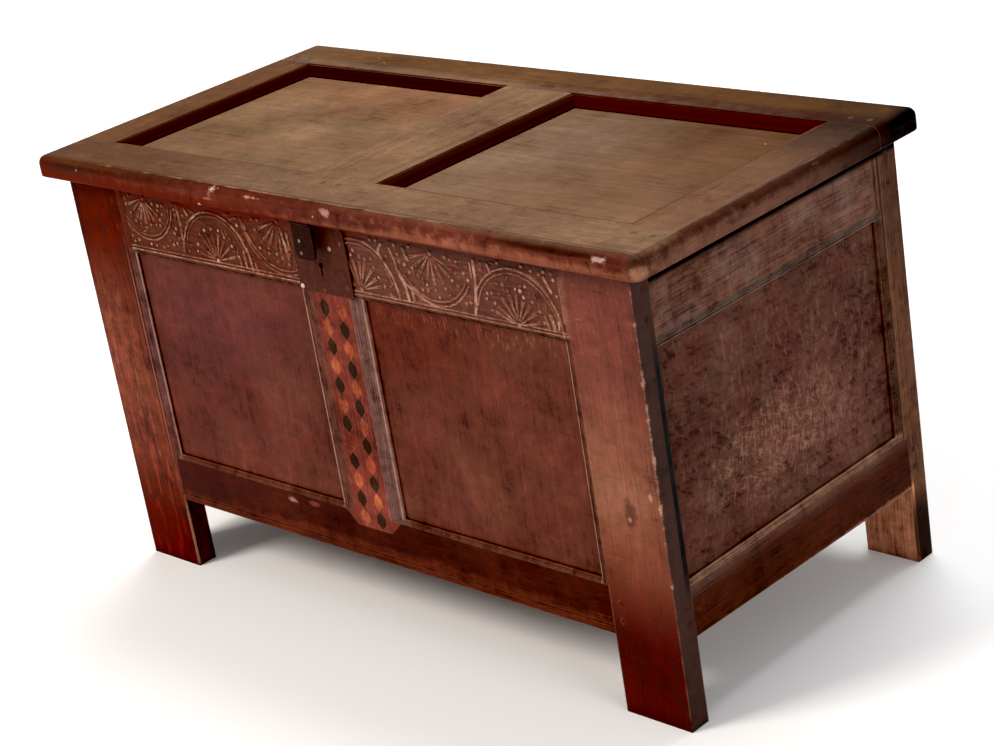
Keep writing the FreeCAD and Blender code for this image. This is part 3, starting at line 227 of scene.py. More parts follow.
def oak(name, **changes):
    look = {**oakBase, **changes}
    sizes, weights = look["sizes"], look["reliefShares"]
    material, add = newMaterial(name)
    thing = add("TexCoord", out="Object")
    side = add("TexCoord", out="Normal")
    spot = add("VectorMath", {0: thing, "Scale": 1000}, operation="SCALE")
    sway = add("TexNoise", {"Vector": spot, "Scale": 1 / sizes["sway"], "Detail": 2}, out="Color")
    bent = add("VectorMath", {0: sway, 1: [look["swayBy"]] * 3, 2: spot}, operation="MULTIPLY_ADD")
    blotches = {"Vector": spot, "Scale": 1 / sizes["blotch"], "Detail": 7, "Roughness": 0.7}
    blotches = add("TexNoise", blotches)
    patches = add("TexNoise", {"Vector": spot, "Scale": 1 / sizes["patch"], "Detail": 4})
    shares = {}
    for kind in ("streak", "pore"):
        share = [1 / look[kind][1]] * 3
        share[look["grain"]] = 1 / look[kind][0]
        stretched = add("VectorMath", {0: bent, 1: share}, operation="MULTIPLY")
        shares[kind] = add("TexNoise", {"Vector": stretched, "Scale": 1, "Detail": 5, "Roughness": 0.62})

    def cover(area):  # how much of a patch lies here
        offset = add("VectorMath", {0: spot, 1: area["at"]}, operation="SUBTRACT")
        offset = add("VectorMath", {0: offset, 1: area["size"]}, operation="DIVIDE")
        if area["box"]:
            offset = add("VectorMath", {0: offset}, operation="ABSOLUTE")
            across, along, up = [add("SeparateXYZ", {0: offset}, out=axis) for axis in "XYZ"]
            reach = add("Math", {0: across, 1: along}, operation="MAXIMUM")
            reach = add("Math", {0: reach, 1: up}, operation="MAXIMUM")
        else:
            reach = add("VectorMath", {0: offset}, out="Value", operation="LENGTH")
        ragged, soft = area["ragged"], area["soft"]
        reach = add("Math", {0: blotches, 1: -ragged, 2: reach}, operation="MULTIPLY_ADD")
        reach = add("Math", {0: reach, 1: area["sparse"]}, operation="ADD")
        edges = {"From Min": 1 - soft - ragged / 2, "From Max": 1 + soft - ragged / 2}
        share = add("MapRange", {"Value": reach, **edges, "To Min": area["amount"], "To Max": 0}, **smooth)
        if area["faces"]:
            dot = add("VectorMath", {0: side, 1: area["faces"]}, out="Value", operation="DOT_PRODUCT")
            facing = add("MapRange", {"Value": dot, "From Min": 0.03, "From Max": 0.12})
            share = add("Math", {0: share, 1: facing}, operation="MULTIPLY")
        return share

    # stain and light: the tone of the bare wood from place to place
    drifting = {"Vector": bent, "Scale": 1 / sizes["drift"], "Detail": 5, "Roughness": 0.6}
    drifting = add("TexNoise", drifting)
    edges = {"From Min": 0.42, "From Max": 0.62, "To Max": look["drift"][1]}
    stains = [(add("MapRange", {"Value": drifting, **edges}, **smooth), look["drift"][0])]
    stains += [(cover(area), area["tone"]) for area in look["under"]]
    for way, tone, *within in look["facings"]:
        dot = add("VectorMath", {0: side, 1: way}, out="Value", operation="DOT_PRODUCT")
        low, high = within or (0.75, 0.97)
        stains.append((add("MapRange", {"Value": dot, "From Min": low, "From Max": high}, **smooth), tone))
    stains += [(cover(area), area["tone"]) for area in look["zones"]]
    colour = fromHex(look["tone"])
    for share, tone in stains:
        colour = add("Mix", {0: share, 6: colour, 7: fromHex(tone)}, data_type="RGBA")

    # growth rings, blotches and scratches make the tone darker or paler
    level = 0.5 - 0.5 * (look["streaky"] + look["patchy"] + look["blotchy"])
    for pattern, amount in ((shares["streak"], "streaky"), (patches, "patchy"), (blotches, "blotchy")):
        level = add("Math", {0: pattern, 1: look[amount], 2: level}, operation="MULTIPLY_ADD")
    finer = [{**mark, "lift": mark["lift"] * look["scratched"]} for mark in scratches]
    for mark in look["marks"] + finer:
        size, rotation = [40.0] * 3, [0.0] * 3
        size[1 if look["face"] == 0 else 0], size[1 if look["face"] == 2 else 2] = mark["size"]
        rotation[look["face"]] = math.radians(mark["turn"])
        turned = add("Mapping", {"Vector": bent, "Rotation": rotation})
        turned = add("VectorMath", {0: turned, 1: size}, operation="DIVIDE")
        line = add("TexNoise", {"Vector": turned, "Scale": 1, "Detail": 1})
        edges = {"From Min": mark["rare"], "From Max": mark["rare"] + 0.06}
        share = add("MapRange", {"Value": line, **edges}, **smooth)
        if mark["at"]:
            held = cover(patch(mark["at"], mark["within"], ragged=1.6, soft=0.5))
            share = add("Math", {0: share, 1: held}, operation="MULTIPLY")
        level = add("Math", {0: share, 1: mark["lift"], 2: level}, operation="MULTIPLY_ADD")
    low = add("MapRange", {"Value": level, "From Min": 0.0, "From Max": 0.5}, **smooth)
    high = add("MapRange", {"Value": level, "From Min": 0.5, "From Max": 1.5, "To Max": 2})
    shade = add("Mix", {0: low, 4: look["dark"], 5: (1, 1, 1)}, data_type="VECTOR")
    shade = add("Mix", {0: high, 4: shade, 5: look["pale"]}, data_type="VECTOR", clamp_factor=False)
    colour = add("VectorMath", {0: colour, 1: shade}, operation="MULTIPLY")

    # dirt in the pores, scribed lines, painted highlight lines and dings
    wear = []
    grimeTone, grimeAmount, grimeWidth = look["grime"]
    edges = {"From Min": 0.56, "From Max": 0.68, "To Max": look["poreDepth"]}
    porous = add("MapRange", {"Value": shares["pore"], **edges}, **smooth)
    wear.append((porous, grimeTone))
    for axis, place, wide, tone, amount in look["lines"]:
        along = add("SeparateXYZ", {0: spot}, out="XYZ"[axis])
        nearLine = add("Math", {0: along, 1: place, 2: wide / 2}, operation="COMPARE")
        edges = {"From Min": 0.35, "From Max": 0.55, "To Min": amount * 0.4, "To Max": amount}
        broken = add("MapRange", {"Value": blotches, **edges})
        wear.append((add("Math", {0: nearLine, 1: broken}, operation="MULTIPLY"), tone))
    tone, amount, apart = look["ding"]
    largest, tatter = look["dingSize"]
    cells = {"Vector": spot, "Scale": 1 / apart}
    chance = add("SeparateColor", {0: add("TexVoronoi", cells, out="Color")})
    nearness = add("TexVoronoi", cells, out="Distance")
    edges = {"From Min": 0.5, "From Max": 1, "To Max": largest / apart}  # half of the cells stay empty
    width = add("MapRange", {"Value": chance, **edges})
    ragged = add("Math", {0: blotches, 1: tatter / apart, 2: nearness}, operation="MULTIPLY_ADD")
    ding = add("Math", {0: ragged, 1: width}, operation="LESS_THAN")
    wear.append((add("Math", {0: ding, 1: amount}, operation="MULTIPLY"), tone))

    # carving: the tops are rubbed pale and carry a painted highlight, and the ground keeps its dirt and a
    # painted shade
    topTone, topAmount, groundTone, groundAmount = look["carved"]
    if topAmount:
        carved = add("Attribute", out="Fac", attribute_name="carve")
        edges = {"From Min": -0.9, "From Max": -0.2, "To Min": groundAmount, "To Max": 0}
        ground = add("MapRange", {"Value": carved, **edges}, **smooth)
        wear.append((ground, groundTone))
        edges = {"From Min": 0.2, "From Max": 1.4, "To Max": topAmount * 1.5}
        top = add("MapRange", {"Value": carved, **edges}, **smooth)
        rubbed = {"Vector": spot, "Scale": 1 / sizes["rub"], "Detail": 4, "Roughness": 0.75}
        rubbed = add("TexNoise", rubbed)
        edges = {"From Min": 0.42, "From Max": 0.6, "To Min": 0.12}
        rubbed = add("MapRange", {"Value": rubbed, **edges}, **smooth)
        wear.append((add("Math", {0: top, 1: rubbed}, operation="MULTIPLY"), topTone))

    # arrises rubbed pale, corners darkened with dirt and painted shade
    edgeTone, edgeAmount, edgeWidth = look["edge"]
    openness = add("AmbientOcclusion", {"Distance": grimeWidth * mm}, out="AO", samples=4)
    rounded, turn = arrises(add, edgeWidth)
    edges = {"From Min": 0.8, "From Max": 0.985, "To Min": edgeAmount, "To Max": 0}
    worn = add("MapRange", {"Value": turn, **edges}, **smooth)
    rubbed = add("MapRange", {"Value": blotches, "From Min": 0.36, "From Max": 0.6, "To Min": 0.1}, **smooth)
    outer = add("MapRange", {"Value": openness, "From Min": 0.5, "From Max": 0.9}, **smooth)
    rubbed = add("Math", {0: rubbed, 1: outer}, operation="MULTIPLY")
    for area in look["plain"]:
        untouched = cover({**area, "box": True, "ragged": 0, "soft": 0.02})
        untouched = add("Math", {0: 1.0, 1: untouched}, operation="SUBTRACT")
        rubbed = add("Math", {0: rubbed, 1: untouched}, operation="MULTIPLY")
    wear.append((add("Math", {0: worn, 1: rubbed}, operation="MULTIPLY"), edgeTone))
    # dirt and painted shade: darker wherever other surfaces close in
    edges = {"From Min": 0.2, "From Max": 0.92, "To Min": grimeAmount, "To Max": 0}
    wear.append((add("MapRange", {"Value": openness, **edges}, **smooth), grimeTone))
    wear += [(cover(area), area["tone"]) for area in look["over"]]
    for share, tone in wear:
        colour = add("Mix", {0: share, 6: colour, 7: fromHex(tone)}, data_type="RGBA")

    # polish, and relief from the rings, pores, dings and the waves that the plane left
    polish = add("Math", {0: blotches, 1: shares["streak"]}, operation="ADD")
    edges = {"From Min": 0.8, "From Max": 1.2, "To Min": look["rough"][0], "To Max": look["rough"][1]}
    roughness = add("MapRange", {"Value": polish, **edges})
    waves = add("TexNoise", {"Vector": spot, "Scale": 1 / sizes["wave"], "Detail": 3})
    height = shares["streak"]
    for pattern, kind in ((porous, "pore"), (waves, "wave"), (ding, "ding")):
        height = add("Math", {0: pattern, 1: weights[kind], 2: height}, operation="MULTIPLY_ADD")
    bump = {"Height": height, "Distance": look["relief"] * mm, "Strength": 1, "Normal": rounded}
    gloss = look["gloss"]
    for area in look["matte"]:
        gloss = add("MapRange", {"Value": cover(area), "To Min": gloss, "To Max": 0})
    shader = add("BsdfPrincipled", {
        "Base Color": colour, "Roughness": roughness, "IOR": look["ior"], "Specular IOR Level": gloss,
        "Normal": add("Bump", bump),
    })
    add("OutputMaterial", {0: shader})
    return material


dry = "#5e4029"  # unstained oak inside and behind
behind = [((0, 1, 0), dry)]
postBack = [((0, 1, 0), "#4a3020"), ((0, 0, 1), "#3a2418")]
# the hidden sides of the end frames and panels
inside = patch((0, 0, 330), (486, far, far), dry, box=True, soft=0.002, ragged=0)
shadowLines = [  # painted shadow: the side frames are black right under the lid
    patch((x, 0, 577), (2.5, far, 25), "#030000", box=True, soft=0.15, ragged=0.1)
    for x in (-500, 500)
]
beneath = ((0, 0, -1), "#3a2418")
nearlyLevel = (0.985, 0.9995)
# painted shade: the lid's top darkens towards its back right
lidShadeBackRight = patch((560, 300, 606), (330, 220, far), "#0a0301", 0.9, soft=0.7, ragged=0.9)
lidChips = [  # the arrises of the edge and of the recess, rubbed to bare wood here and there
    patch((0, -262.5, 604), (530, 3.4, 3.4), "#a07c62", 0.7, box=True, soft=0.3, ragged=6.0, sparse=1.6),
    patch((533.5, 0, 604), (3.0, 250, 3.0), "#947060", 0.65, box=True, soft=0.3, ragged=6.0, sparse=1.4),
    patch((0, -255, 606), (530, 1.3, 2.5), "#92705a", 0.8, box=True, soft=0.4, ragged=3.0, sparse=0.7),
    patch((526, 0, 606), (1.3, 255, 2.5), "#86644e", 0.7, box=True, soft=0.4, ragged=3.0, sparse=0.8),
]
lidDents = [  # splinters knocked out of the front edge show bare wood
    patch(place, size, tone, 0.85, soft=0.4, ragged=6.0, sparse=0.5)
    for place, size, tone in (
        ((-159, -262, 602), (15, 7, 7), "#d8b098"), ((-174, -264, 589), (13, 4, 1.6), "#8c5848"),
        ((-92, -263, 600), (24, 4, 2), "#b08068"), ((47, -264, 597), (10, 5, 5), "#a87c74"),
        ((-192, -264, 579), (4, 5, 3), "#d0a894"), ((479, -264, 598), (13, 5, 5), "#b89488"),
        ((-30, -264, 601), (5, 5, 3), "#b89080"),
    )
]
farSide = [  # painted light: the far walls of the recess, paler where they catch the light
    patch((-6, 0, 600), (475, 195, 8), "#644732", 0.9, box=True, soft=0.05, ragged=0.1, faces=(-0.7, 0.7, 0)),
]
cornerDent = patch((531, -258, 586), (7, 11, 7), "#a8765c", 0.6, soft=0.5, ragged=2.2)
# painted shade: the lid's back right corner nearly black
lidCorner = patch((540, 262, 590), (26, 70, 30), "#040101", soft=0.4)
lidEnd = [  # end grain, worn paler low down
    patch((537, 0, 596), (15, far, 14), "#40241a", box=True, soft=0.2),
    patch((537, -90, 584), (15, 220, 12), "#6b483a", 0.8, soft=0.5, ragged=2.4),
]
# the sunk field that both lid panels lie in: its walls are dark and red with old stain
recess = patch((-6, 0, 598), (500, 236, 6.4), "#290302", 0.94, box=True, soft=0.05, ragged=0.1)
redRecess = patch((250, 176, 598), (250, 30, 8), "#3a0d08", 0.8, box=True, soft=0.3, ragged=1.2)
dullEdge = patch((-420, -264, 590), (460, 13, far), amount=0.15, soft=0.2)
lidFrame = {
    "face": 2, "tone": "#2c0804", "streak": (170, 4.0), "streaky": 0.8, "patchy": 0.9, "blotchy": 1.1,
    "scratched": 0.4, "poreDepth": 0.3, "matte": [recess, dullEdge], "ding": ("#c0a08a", 0.5, 26),
}
# oak that was never stained or waxed: even, dull and grey brown
dryBoard = {"tone": dry, "rough": (0.6, 0.85), "scratched": 0.3}
# pegs split from straight oak and cut flush: their end grain is a spot a little off the tone around
peg = {"edge": ("#8a5a48", 0, 1), "scratched": 0}
oaks = {
    "lidRailOak": oak(
        "agedOakLidRail", **lidFrame,
        under=[
            patch((-420, -264, 590), (460, 13, far), "#561806", soft=0.2),
            # painted shade along the upper round of the front edge
            patch((-250, -257, 604), (far, 6, 6), "#2c0c08", 0.7, soft=0.5, ragged=2.0, sparse=0.4),
            patch((-260, -264, 593), (280, 13, 11), "#7c422c", 0.8, soft=0.5, ragged=5.0, sparse=1.1),
            patch((-470, -264, 598), (80, 13, 12), "#3a1c18", 0.9, soft=0.5, ragged=2.4, sparse=0.3),
            patch((-330, -264, 602), (210, 13, 9), "#30140a", 0.85, soft=0.4, ragged=3.4, sparse=0.2),
            patch((300, -264, 596), (560, 13, 14), "#5a2a20", soft=0.5),
            patch((170, -264, 594), (260, 13, 14), "#80503e", 0.7, soft=0.5, ragged=4.0, sparse=1.0),
            # painted reflection: the pale pink-tan lower band of the front edge, on its right
            patch((360, -264, 580), (360, 13, 9), "#804a36", 0.9, soft=0.5, ragged=1.8),
            patch((410, -262, 601), (80, 13, 6), "#260c06", 0.8, soft=0.4, ragged=1.2),
            # painted shadow: a crimson line along the lower arris of the front edge
            patch((-140, -264, 577), (430, 8, 3.4), "#560a03", 0.8, box=True, soft=0.3, ragged=0.8),
            patch((0, 264, 590), (far, 13, far), "#3c1a10"),
            *lidEnd,
        ],
        facings=[((0, 0, 1), "#6a503c", *nearlyLevel), beneath],
        zones=[
            lidShadeBackRight,
            patch((-440, -225, 606), (220, 80, 5), "#4c2c1a", 0.7, soft=0.7),
            patch((0, 230, 606), (560, 36, 5), "#543415", 0.8, soft=0.4),
            patch((300, -218, 606), (320, 50, 5), "#6e523e", 0.5, soft=0.5),
        ],
        over=[recess, redRecess, *farSide, *lidChips, *lidDents, cornerDent, lidCorner],
        lines=[(1, -251, 2.0, "#38200f", 0.75)],
    ),
    "lidStileOak": oak(
        "agedOakLidStile", grain=1, **lidFrame,
        under=[*lidEnd, patch((-535, 0, 590), (13, far, far), "#4c1608")],
        facings=[((0, 0, 1), "#694a37", *nearlyLevel), beneath],
        zones=[
            lidShadeBackRight,
            patch((-6, 0, 606), (76, 400, 5), "#70543e", 0.9, box=True, soft=0.1, ragged=0.1),
            patch((-490, 60, 606), (50, 300, 5), "#55351c", 0.7, box=True, soft=0.3),
        ],
        over=[
            recess, patch((60, 0, 604), (8, 178, 3), "#2e150b", 0.8, box=True, soft=0.1),
            *farSide, *lidChips, lidCorner,
        ],
        lines=[
            (0, 524, 1.6, "#2a120a", 0.5), (0, -524, 1.6, "#2a120a", 0.5), (0, 38, 1.6, "#1a0a06", 0.7),
            (1, 180, 1.6, "#2a1810", 0.7),
        ],
    ),
    "lidPanelOak": oak(
        "agedOakLidPanel", face=2, tone="#745741", drift=("#655036", 0.7), streak=(190, 6.0),
        edge=("#9a6248", 0, 2.2), streaky=0.7, patchy=1.0, blotchy=0.7, scratched=0.45, poreDepth=0.18,
        facings=[beneath],
        zones=[
            # painted shade: the right panel darkens towards its back right
            patch((480, 190, 594), (420, 230, far), "#4a2a15", 0.75, soft=0.8),
            patch((-420, -150, 594), (170, 90, far), "#6a4c38", 0.6, soft=0.6),
            patch((-190, 130, 594), (230, 80, far), "#7c5038", 0.5, soft=0.8, ragged=1.2),
            patch(
                (75.5, 0, 594), (2.2, 165, far), "#b89080", 0.7, box=True, soft=0.3, ragged=5.0, sparse=1.8,
            ),
            patch((150, 10, 594), (110, 180, far), "#705a4a", 0.6, soft=0.8),
            patch((300, -90, 594), (130, 60, far), "#6a4a38", 0.5, soft=0.8, ragged=1.2),
        ],
    ),
    "leftPostOak": oak(
        "agedOakLeftPost", grain=2, tone="#682f20",
        matte=[patch((-450, -240, z), (far, 6, 150), amount=0.28, soft=0.6) for z in (0, 577)],
        facings=[*postBack, ((1, 0, 0), "#38110a"), ((-1, 0, 0), "#4c2016")],
        streak=(130, 3.2), scratched=0.5, poreDepth=0.3, plain=[patch((-452, -240, 350), (36, 4, 260))],
        under=[
            patch((-450, -240, 577), (far, far, 150), "#4b1003", soft=0.6),
            patch((-450, -240, 0), (far, far, 130), "#4d0901", soft=0.6),
        ],
        zones=[patch((-472, -240, 310), (36, 6, 100), "#84463a", 0.3, soft=0.8, ragged=1.4)],
        marks=[
            scratch(0.6, (12, 60), 0, 0.56, (-440, -240, 60), (60, far, 120)),
            scratch(0.3, (9, 50), 1, 0.6, (-450, -240, 300), (60, 6, 130)),
        ],
        over=[
            patch((-402.5, -240, 326), (1.3, 3, 152), "#200806", 0.7, box=True, ragged=0.5),
            patch((-405.5, -240, 326), (1.3, 3, 152), "#8a6258", 0.6, box=True, ragged=0.9),
            patch((-408.5, -240, 326), (1.0, 3, 152), "#2c0c08", 0.6, box=True, ragged=0.5),
            patch((-400, -240, 55), (2.4, 2.4, 48), "#a07a64", 0.7, box=True, ragged=1.6),
        ],
    ),
    "rightPostOak": oak(
        "agedOakRightPost", grain=2, tone="#7c4934",
        matte=[patch((450, -240, 0), (far, 6, 150), amount=0.25, soft=0.4)], drift=("#8d5f4b", 0.5),
        streak=(130, 4.0), gloss=0.1, scratched=0.4, streaky=0.9, blotchy=1.6, patchy=1.5, poreDepth=0.25,
        edge=("#a67862", 0.6, 3.4),
        plain=[patch((452, -240, 350), (36, 4, 260)), patch((500, -218, 350), (4, 16, 260))],
        under=[
            patch((450, -240, 560), (far, far, 200), "#643228", soft=0.6),
            patch((450, -240, 40), (far, far, 200), "#632919", soft=0.5),
            patch((450, -240, 0), (far, far, 150), "#440803", soft=0.35),
        ],
        facings=[((1, 0, 0), "#36201a"), *postBack],
        zones=[patch((500, -240, 380), (4.2, 4.2, 260), "#b08a78", 0.8, soft=0.4, ragged=5.0, sparse=0.85)],
        over=[
            # painted shade: a black gap line where the side panel meets the post
            patch((500, -213, 330), (far, 5, 150), "#020000", box=True, soft=0.2, ragged=0.2),
            patch((452, -240, 276), (9, 4, 16), "#3c1c14", 0.7, soft=0.5, ragged=3.0),
            patch((450, -240, 268), (3, 4, 3), "#a07868", 0.7, soft=0.5, ragged=4.0, sparse=0.2),
            patch((486, -240, 304), (3, 4, 5), "#b08874", 0.7, soft=0.5, ragged=4.0, sparse=0.2),
        ],
    ),
    "friezeOak": oak(
        "agedOakFrieze", tone="#693a2b", drift=("#7a3a2e", 0.5), facings=behind,
        carved=("#b8917e", 0.6, "#34150e", 0.5), gloss=0.12,
        matte=[patch((-260, -240, 540), (240, 6, far), amount=0.6, soft=0.5)],
        over=[
            # painted shadow of the lid's overhang along the top of the frieze, dark red
            patch((0, -240, 577), (far, 6, 17), "#3a0e08", 0.6, soft=0.5, ragged=0.4),
            patch((-170, -240, 577), (300, 6, 22), "#6e1c0a", 0.75, soft=0.4, ragged=1.0),
            patch((-398, -240, 530), (7, far, far), "#4a140a", 0.85, box=True, ragged=0.4),
        ],
        zones=[
            patch((230, -240, 530), (230, 12, far), "#7c4a3a", 0.55, soft=0.8),
            patch((-230, -240, 530), (220, 12, far), "#66301c", 0.45, soft=0.8),
        ],
    ),
    "bottomRailOak": oak(
        "agedOakBottomRail", tone="#38110b", drift=("#441a10", 0.5), facings=behind, scratched=0.6,
        zones=[patch((60, -240, 112), (520, far, 16), "#622818", 0.45, ragged=1.4)],
        over=[
            patch((-157, -240, 159), (8, 4, 5), "#b07c74", 0.8, soft=0.4, ragged=4.0, sparse=0.3),
            patch((-116, -240, 162), (11, 4, 3), "#7c3e34", 0.7, soft=0.5, ragged=3.0),
        ],
    ),
    "muntinOak": oak(
        "agedOakMuntin", grain=2, tone="#6a3024", drift=("#7b3732", 0.5), facings=behind, scratched=0.4,
    ),
    "frontPanelOak": oak(
        "agedOakFrontPanel", grain=2, tone="#5c2e25", drift=("#5b3326", 0.7), streak=(120, 5.0), patchy=1.3,
        blotchy=1.3, streaky=0.9, scratched=0.35, poreDepth=0.25, facings=behind, edge=("#9a6248", 0, 2.2),
        zones=[
            patch((-250, -233, 400), (170, far, 80), "#4c2225", 0.5, soft=0.8),
            patch((110, -233, 440), (110, far, 60), "#5a1f12", 0.5, soft=0.8),
            patch((-230, -233, 240), (150, far, 70), "#5e2a24", 0.4, soft=0.8),
        ],
        marks=[scratch(0.75, (2.4, 13), 2, 0.62, (230, -233, 464), (170, 6, 17))],
    ),
    "edgeMouldingOak": oak(
        # the grooves between the reeds darkened with dirt and painted shade
        "agedOakMoulding", grain=2, tone="#5c2c20", edge=("#a88474", 0.8, 0.8), grime=("#0c0302", 0.95, 7),
        relief=0.2,
        under=[
            # painted sheen: the muntin's mouldings greyer
            patch((45, -240, 330), (22, far, far), "#6c4b44"),
            patch((-45, -240, 330), (22, far, far), "#643a30"),
            patch((-392, -240, 340), (16, far, 150), "#6c4444", soft=0.5),
        ],
        # painted highlights: pale lines along the crests of the beads
        lines=[(0, x, 2.4, "#a08070", 0.8) for x in (-389.6, -54.5, 54.5, 389.6)], scratched=0.3,
    ),
    "sideMouldingOak": oak(
        "agedOakSideMoulding", grain=1, face=0, tone="#4c3028", edge=("#a08474", 0.7, 0.8),
        # the grooves between the reeds darkened with dirt and painted shade
        grime=("#0c0302", 0.9, 7), relief=0.2,
        under=[
            # painted highlight: the lower moulding paler where it faces up
            patch((495, 0, 180), (far, far, 8), "#8a6854", box=True, soft=0.1, ragged=0.2),
            patch((495, 0, 484), (far, far, 11), "#54423a", box=True, soft=0.1, ragged=0.2),
        ],
        # painted highlight along the arris of the upper moulding
        lines=[(2, 489, 1.8, "#8a7468", 0.35)], scratched=0.3,
    ),
    "sideFrameOak": oak(
        "agedOakSideFrame", grain=1, face=0, tone="#5c3c30", drift=("#624b43", 0.6),
        # painted shade: faces that look down are nearly black
        facings=[((0, 0, -1), "#0c0403")],
        under=[inside, patch((500, 0, 110), (far, far, 62), "#3a190f")], scratched=0.6,
        over=[
            *shadowLines,
            patch((500, 0, 104), (3, far, 6), "#946c58", 0.6, box=True, soft=0.4, ragged=1.6),
        ],
    ),
    "backPostOak": oak(
        "agedOakBackPost", grain=2, face=0, tone="#5a3a2c", scratched=0.3,
        facings=[((0, -1, 0), dry)],
        under=[inside, patch((500, 235, 577), (12, far, 170), "#4a2e22", soft=0.6)],
        zones=[patch((0, 225, 30), (far, 4, 84), "#b4765a", box=True, soft=0.2, ragged=0.3)],
        lines=[(1, 213, 1.8, "#86644e", 0.6), (1, 221, 1.6, "#7a5844", 0.6), (1, 217, 1.6, "#160804", 0.6)],
        over=[patch((502, 235, 40), (4, 40, 58), "#0a0302", 0.9, ragged=0.8), *shadowLines],
    ),
    "sidePanelOak": oak(
        "agedOakSidePanel", grain=1, face=0, tone="#4a2a22", drift=("#4e352a", 0.6), edge=("#9a6248", 0, 2.2),
        scratched=0.3, streak=(60, 5.0), streaky=1.0, blotchy=1.5, patchy=1.4, poreDepth=0.12, under=[inside],
        zones=[
            patch((493, -25, 275), (12, 110, 50), "#66493a", 0.3, soft=0.7, ragged=1.4),
            patch((493, 120, 260), (12, 110, 80), "#5c3c32", 0.5, soft=0.8),
        ],
        # painted shade: a black gap line along the front post
        over=[patch((493, -212, 330), (far, 6, 150), "#020000", box=True, soft=0.2, ragged=0.2)],
        marks=[
            scratch(0.6, (14, 3.6), 25, 0.58, (493, -30, 280), (far, 100, 48)),
            scratch(0.7, (3.6, 12), 15, 0.58, (493, -10, 285), (far, 120, 60)),
            scratch(0.5, (3.0, 14), -10, 0.61, (493, 60, 340), (far, 170, 110)),
            scratch(0.3, (4, 14), 8, 0.6),
            scratch(-0.25, (16, 6), 30, 0.57),
        ],
    ),
    "dryOak": oak("dryOakInside", **dryBoard),
    "dryUprightOak": oak("dryOakUpright", grain=2, **dryBoard),
    "dryFloorOak": oak("dryOakFloor", grain=1, face=2, **dryBoard),
    "frontPegOak": oak(
        "oakPegFront", tone="#753f2e", **peg,
        under=[
            patch((-450, -240, 560), (300, far, 200), "#4b1206"),
            patch((0, -240, 60), (far, far, 190), "#581b10"),
        ],
    ),
    "sidePegOak": oak("oakPegSide", tone="#36201a", **peg),
    "lidPegOak": oak("oakPegLid", tone="#5c4030", **{**peg, "edge": ("#8a5a48", 0.15, 1)}),
    # inlay let into the muntin and scraped flush: bog oak nearly black, fruitwood red and close in grain
    "bogOak": oak(
        "bogOakInlay", grain=2, tone="#2a1710", drift=("#3a2a1c", 0.6), edge=("#5a4a30", 0, 0.6), scratched=0,
    ),
    "fruitwood": oak(
        "fruitwoodInlay", grain=2, tone="#8c402c", drift=("#9c5e38", 0.35), edge=("#d89878", 0, 0.6),
        scratched=0, blotchy=2.6, patchy=2.2,
    ),
}


# iron, forged by hand and left bare: brown scale with small pits that hold rust and a dull sheen, and the
# arrises and nail heads that hands reach are rubbed paler, two nail heads with a painted glint as well
ironBase = {
    "tones": ("#241612", "#4a2e26"),  # dark and pale scale
    "rust": ("#6a3422", 0.35),  # tone, amount
    "edge": ("#a08c80", 0.5, 0.9),  # tone, amount, mm
    "bright": [],  # rubbed spots with a painted glint: place and radius in mm, tone
    "rough": (0.5, 0.7),
    "metal": 0.25,  # the scale hides most of the metal
    "gloss": 0.08,
    "pits": (2.2, 0.25),  # mm, wide and deep
    "scale": 9,  # mm, width of a flake
}


def iron(name, **changes):
    look = {**ironBase, **changes}
    material, add = newMaterial(name)
    thing = add("TexCoord", out="Object")
    spot = add("VectorMath", {0: thing, "Scale": 1000}, operation="SCALE")
    scale = add("TexNoise", {"Vector": spot, "Scale": 1 / look["scale"], "Detail": 6, "Roughness": 0.7})
    pits = add("TexNoise", {"Vector": spot, "Scale": 1 / look["pits"][0], "Detail": 3})
    share = add("MapRange", {"Value": scale, "From Min": 0.35, "From Max": 0.65})
    coats = [(share, look["tones"][1])]
    edges = {"From Min": 0.5, "From Max": 0.68, "To Max": look["rust"][1]}
    coats.append((add("MapRange", {"Value": pits, **edges}), look["rust"][0]))
    for at, radius, tone in look["bright"]:
        offset = add("VectorMath", {0: spot, 1: at}, out="Value", operation="DISTANCE")
        edges = {"From Min": radius * 0.7, "From Max": radius, "To Min": 1, "To Max": 0}
        coats.append((add("MapRange", {"Value": offset, **edges}), tone))
    rounded, turn = arrises(add, look["edge"][2])
    edges = {"From Min": 0.8, "From Max": 0.98, "To Min": look["edge"][1], "To Max": 0}
    coats.append((add("MapRange", {"Value": turn, **edges}), look["edge"][0]))
    colour = fromHex(look["tones"][0])
    for share, tone in coats:
        colour = add("Mix", {0: share, 6: colour, 7: fromHex(tone)}, data_type="RGBA")
    edges = {"From Min": 0.35, "From Max": 0.65, "To Min": look["rough"][0], "To Max": look["rough"][1]}
    roughness = add("MapRange", {"Value": pits, **edges})
    bump = {"Height": pits, "Distance": look["pits"][1] * mm, "Strength": 1, "Normal": rounded}
    shader = add("BsdfPrincipled", {
        "Base Color": colour, "Roughness": roughness, "Metallic": look["metal"],
        "Specular IOR Level": look["gloss"], "Normal": add("Bump", bump),
    })
    add("OutputMaterial", {0: shader})
    return material


irons = {
    "plateIron": iron(
        "forgedIronPlate", tones=("#3a1912", "#4f281c"), rust=("#5a3024", 0.3), edge=("#8a6a5a", 0.25, 0.8),
    ),
    "haspIron": iron(
        "forgedIronHasp", tones=("#1e0702", "#280e06"), rust=("#2c140c", 0.3), edge=("#40281f", 0.4, 0.8),
    ),
    "nailIron": iron(
        "rubbedIronNail", tones=("#52342a", "#6a4638"), edge=("#a08c80", 0.2, 0.6),
        # two nail heads rubbed pale, with a painted glint
        bright=[((-47, -242, 481.5), 6, "#d8c0b0"), ((17, -242, 539), 6, "#a88c7c")],
    ),
    "stapleIron": iron("rubbedIronStaple", tones=("#6a6050", "#8a8474"), rust=("#5c4030", 0.3)),
    "hingeIron": iron("forgedIronHinge"),
}

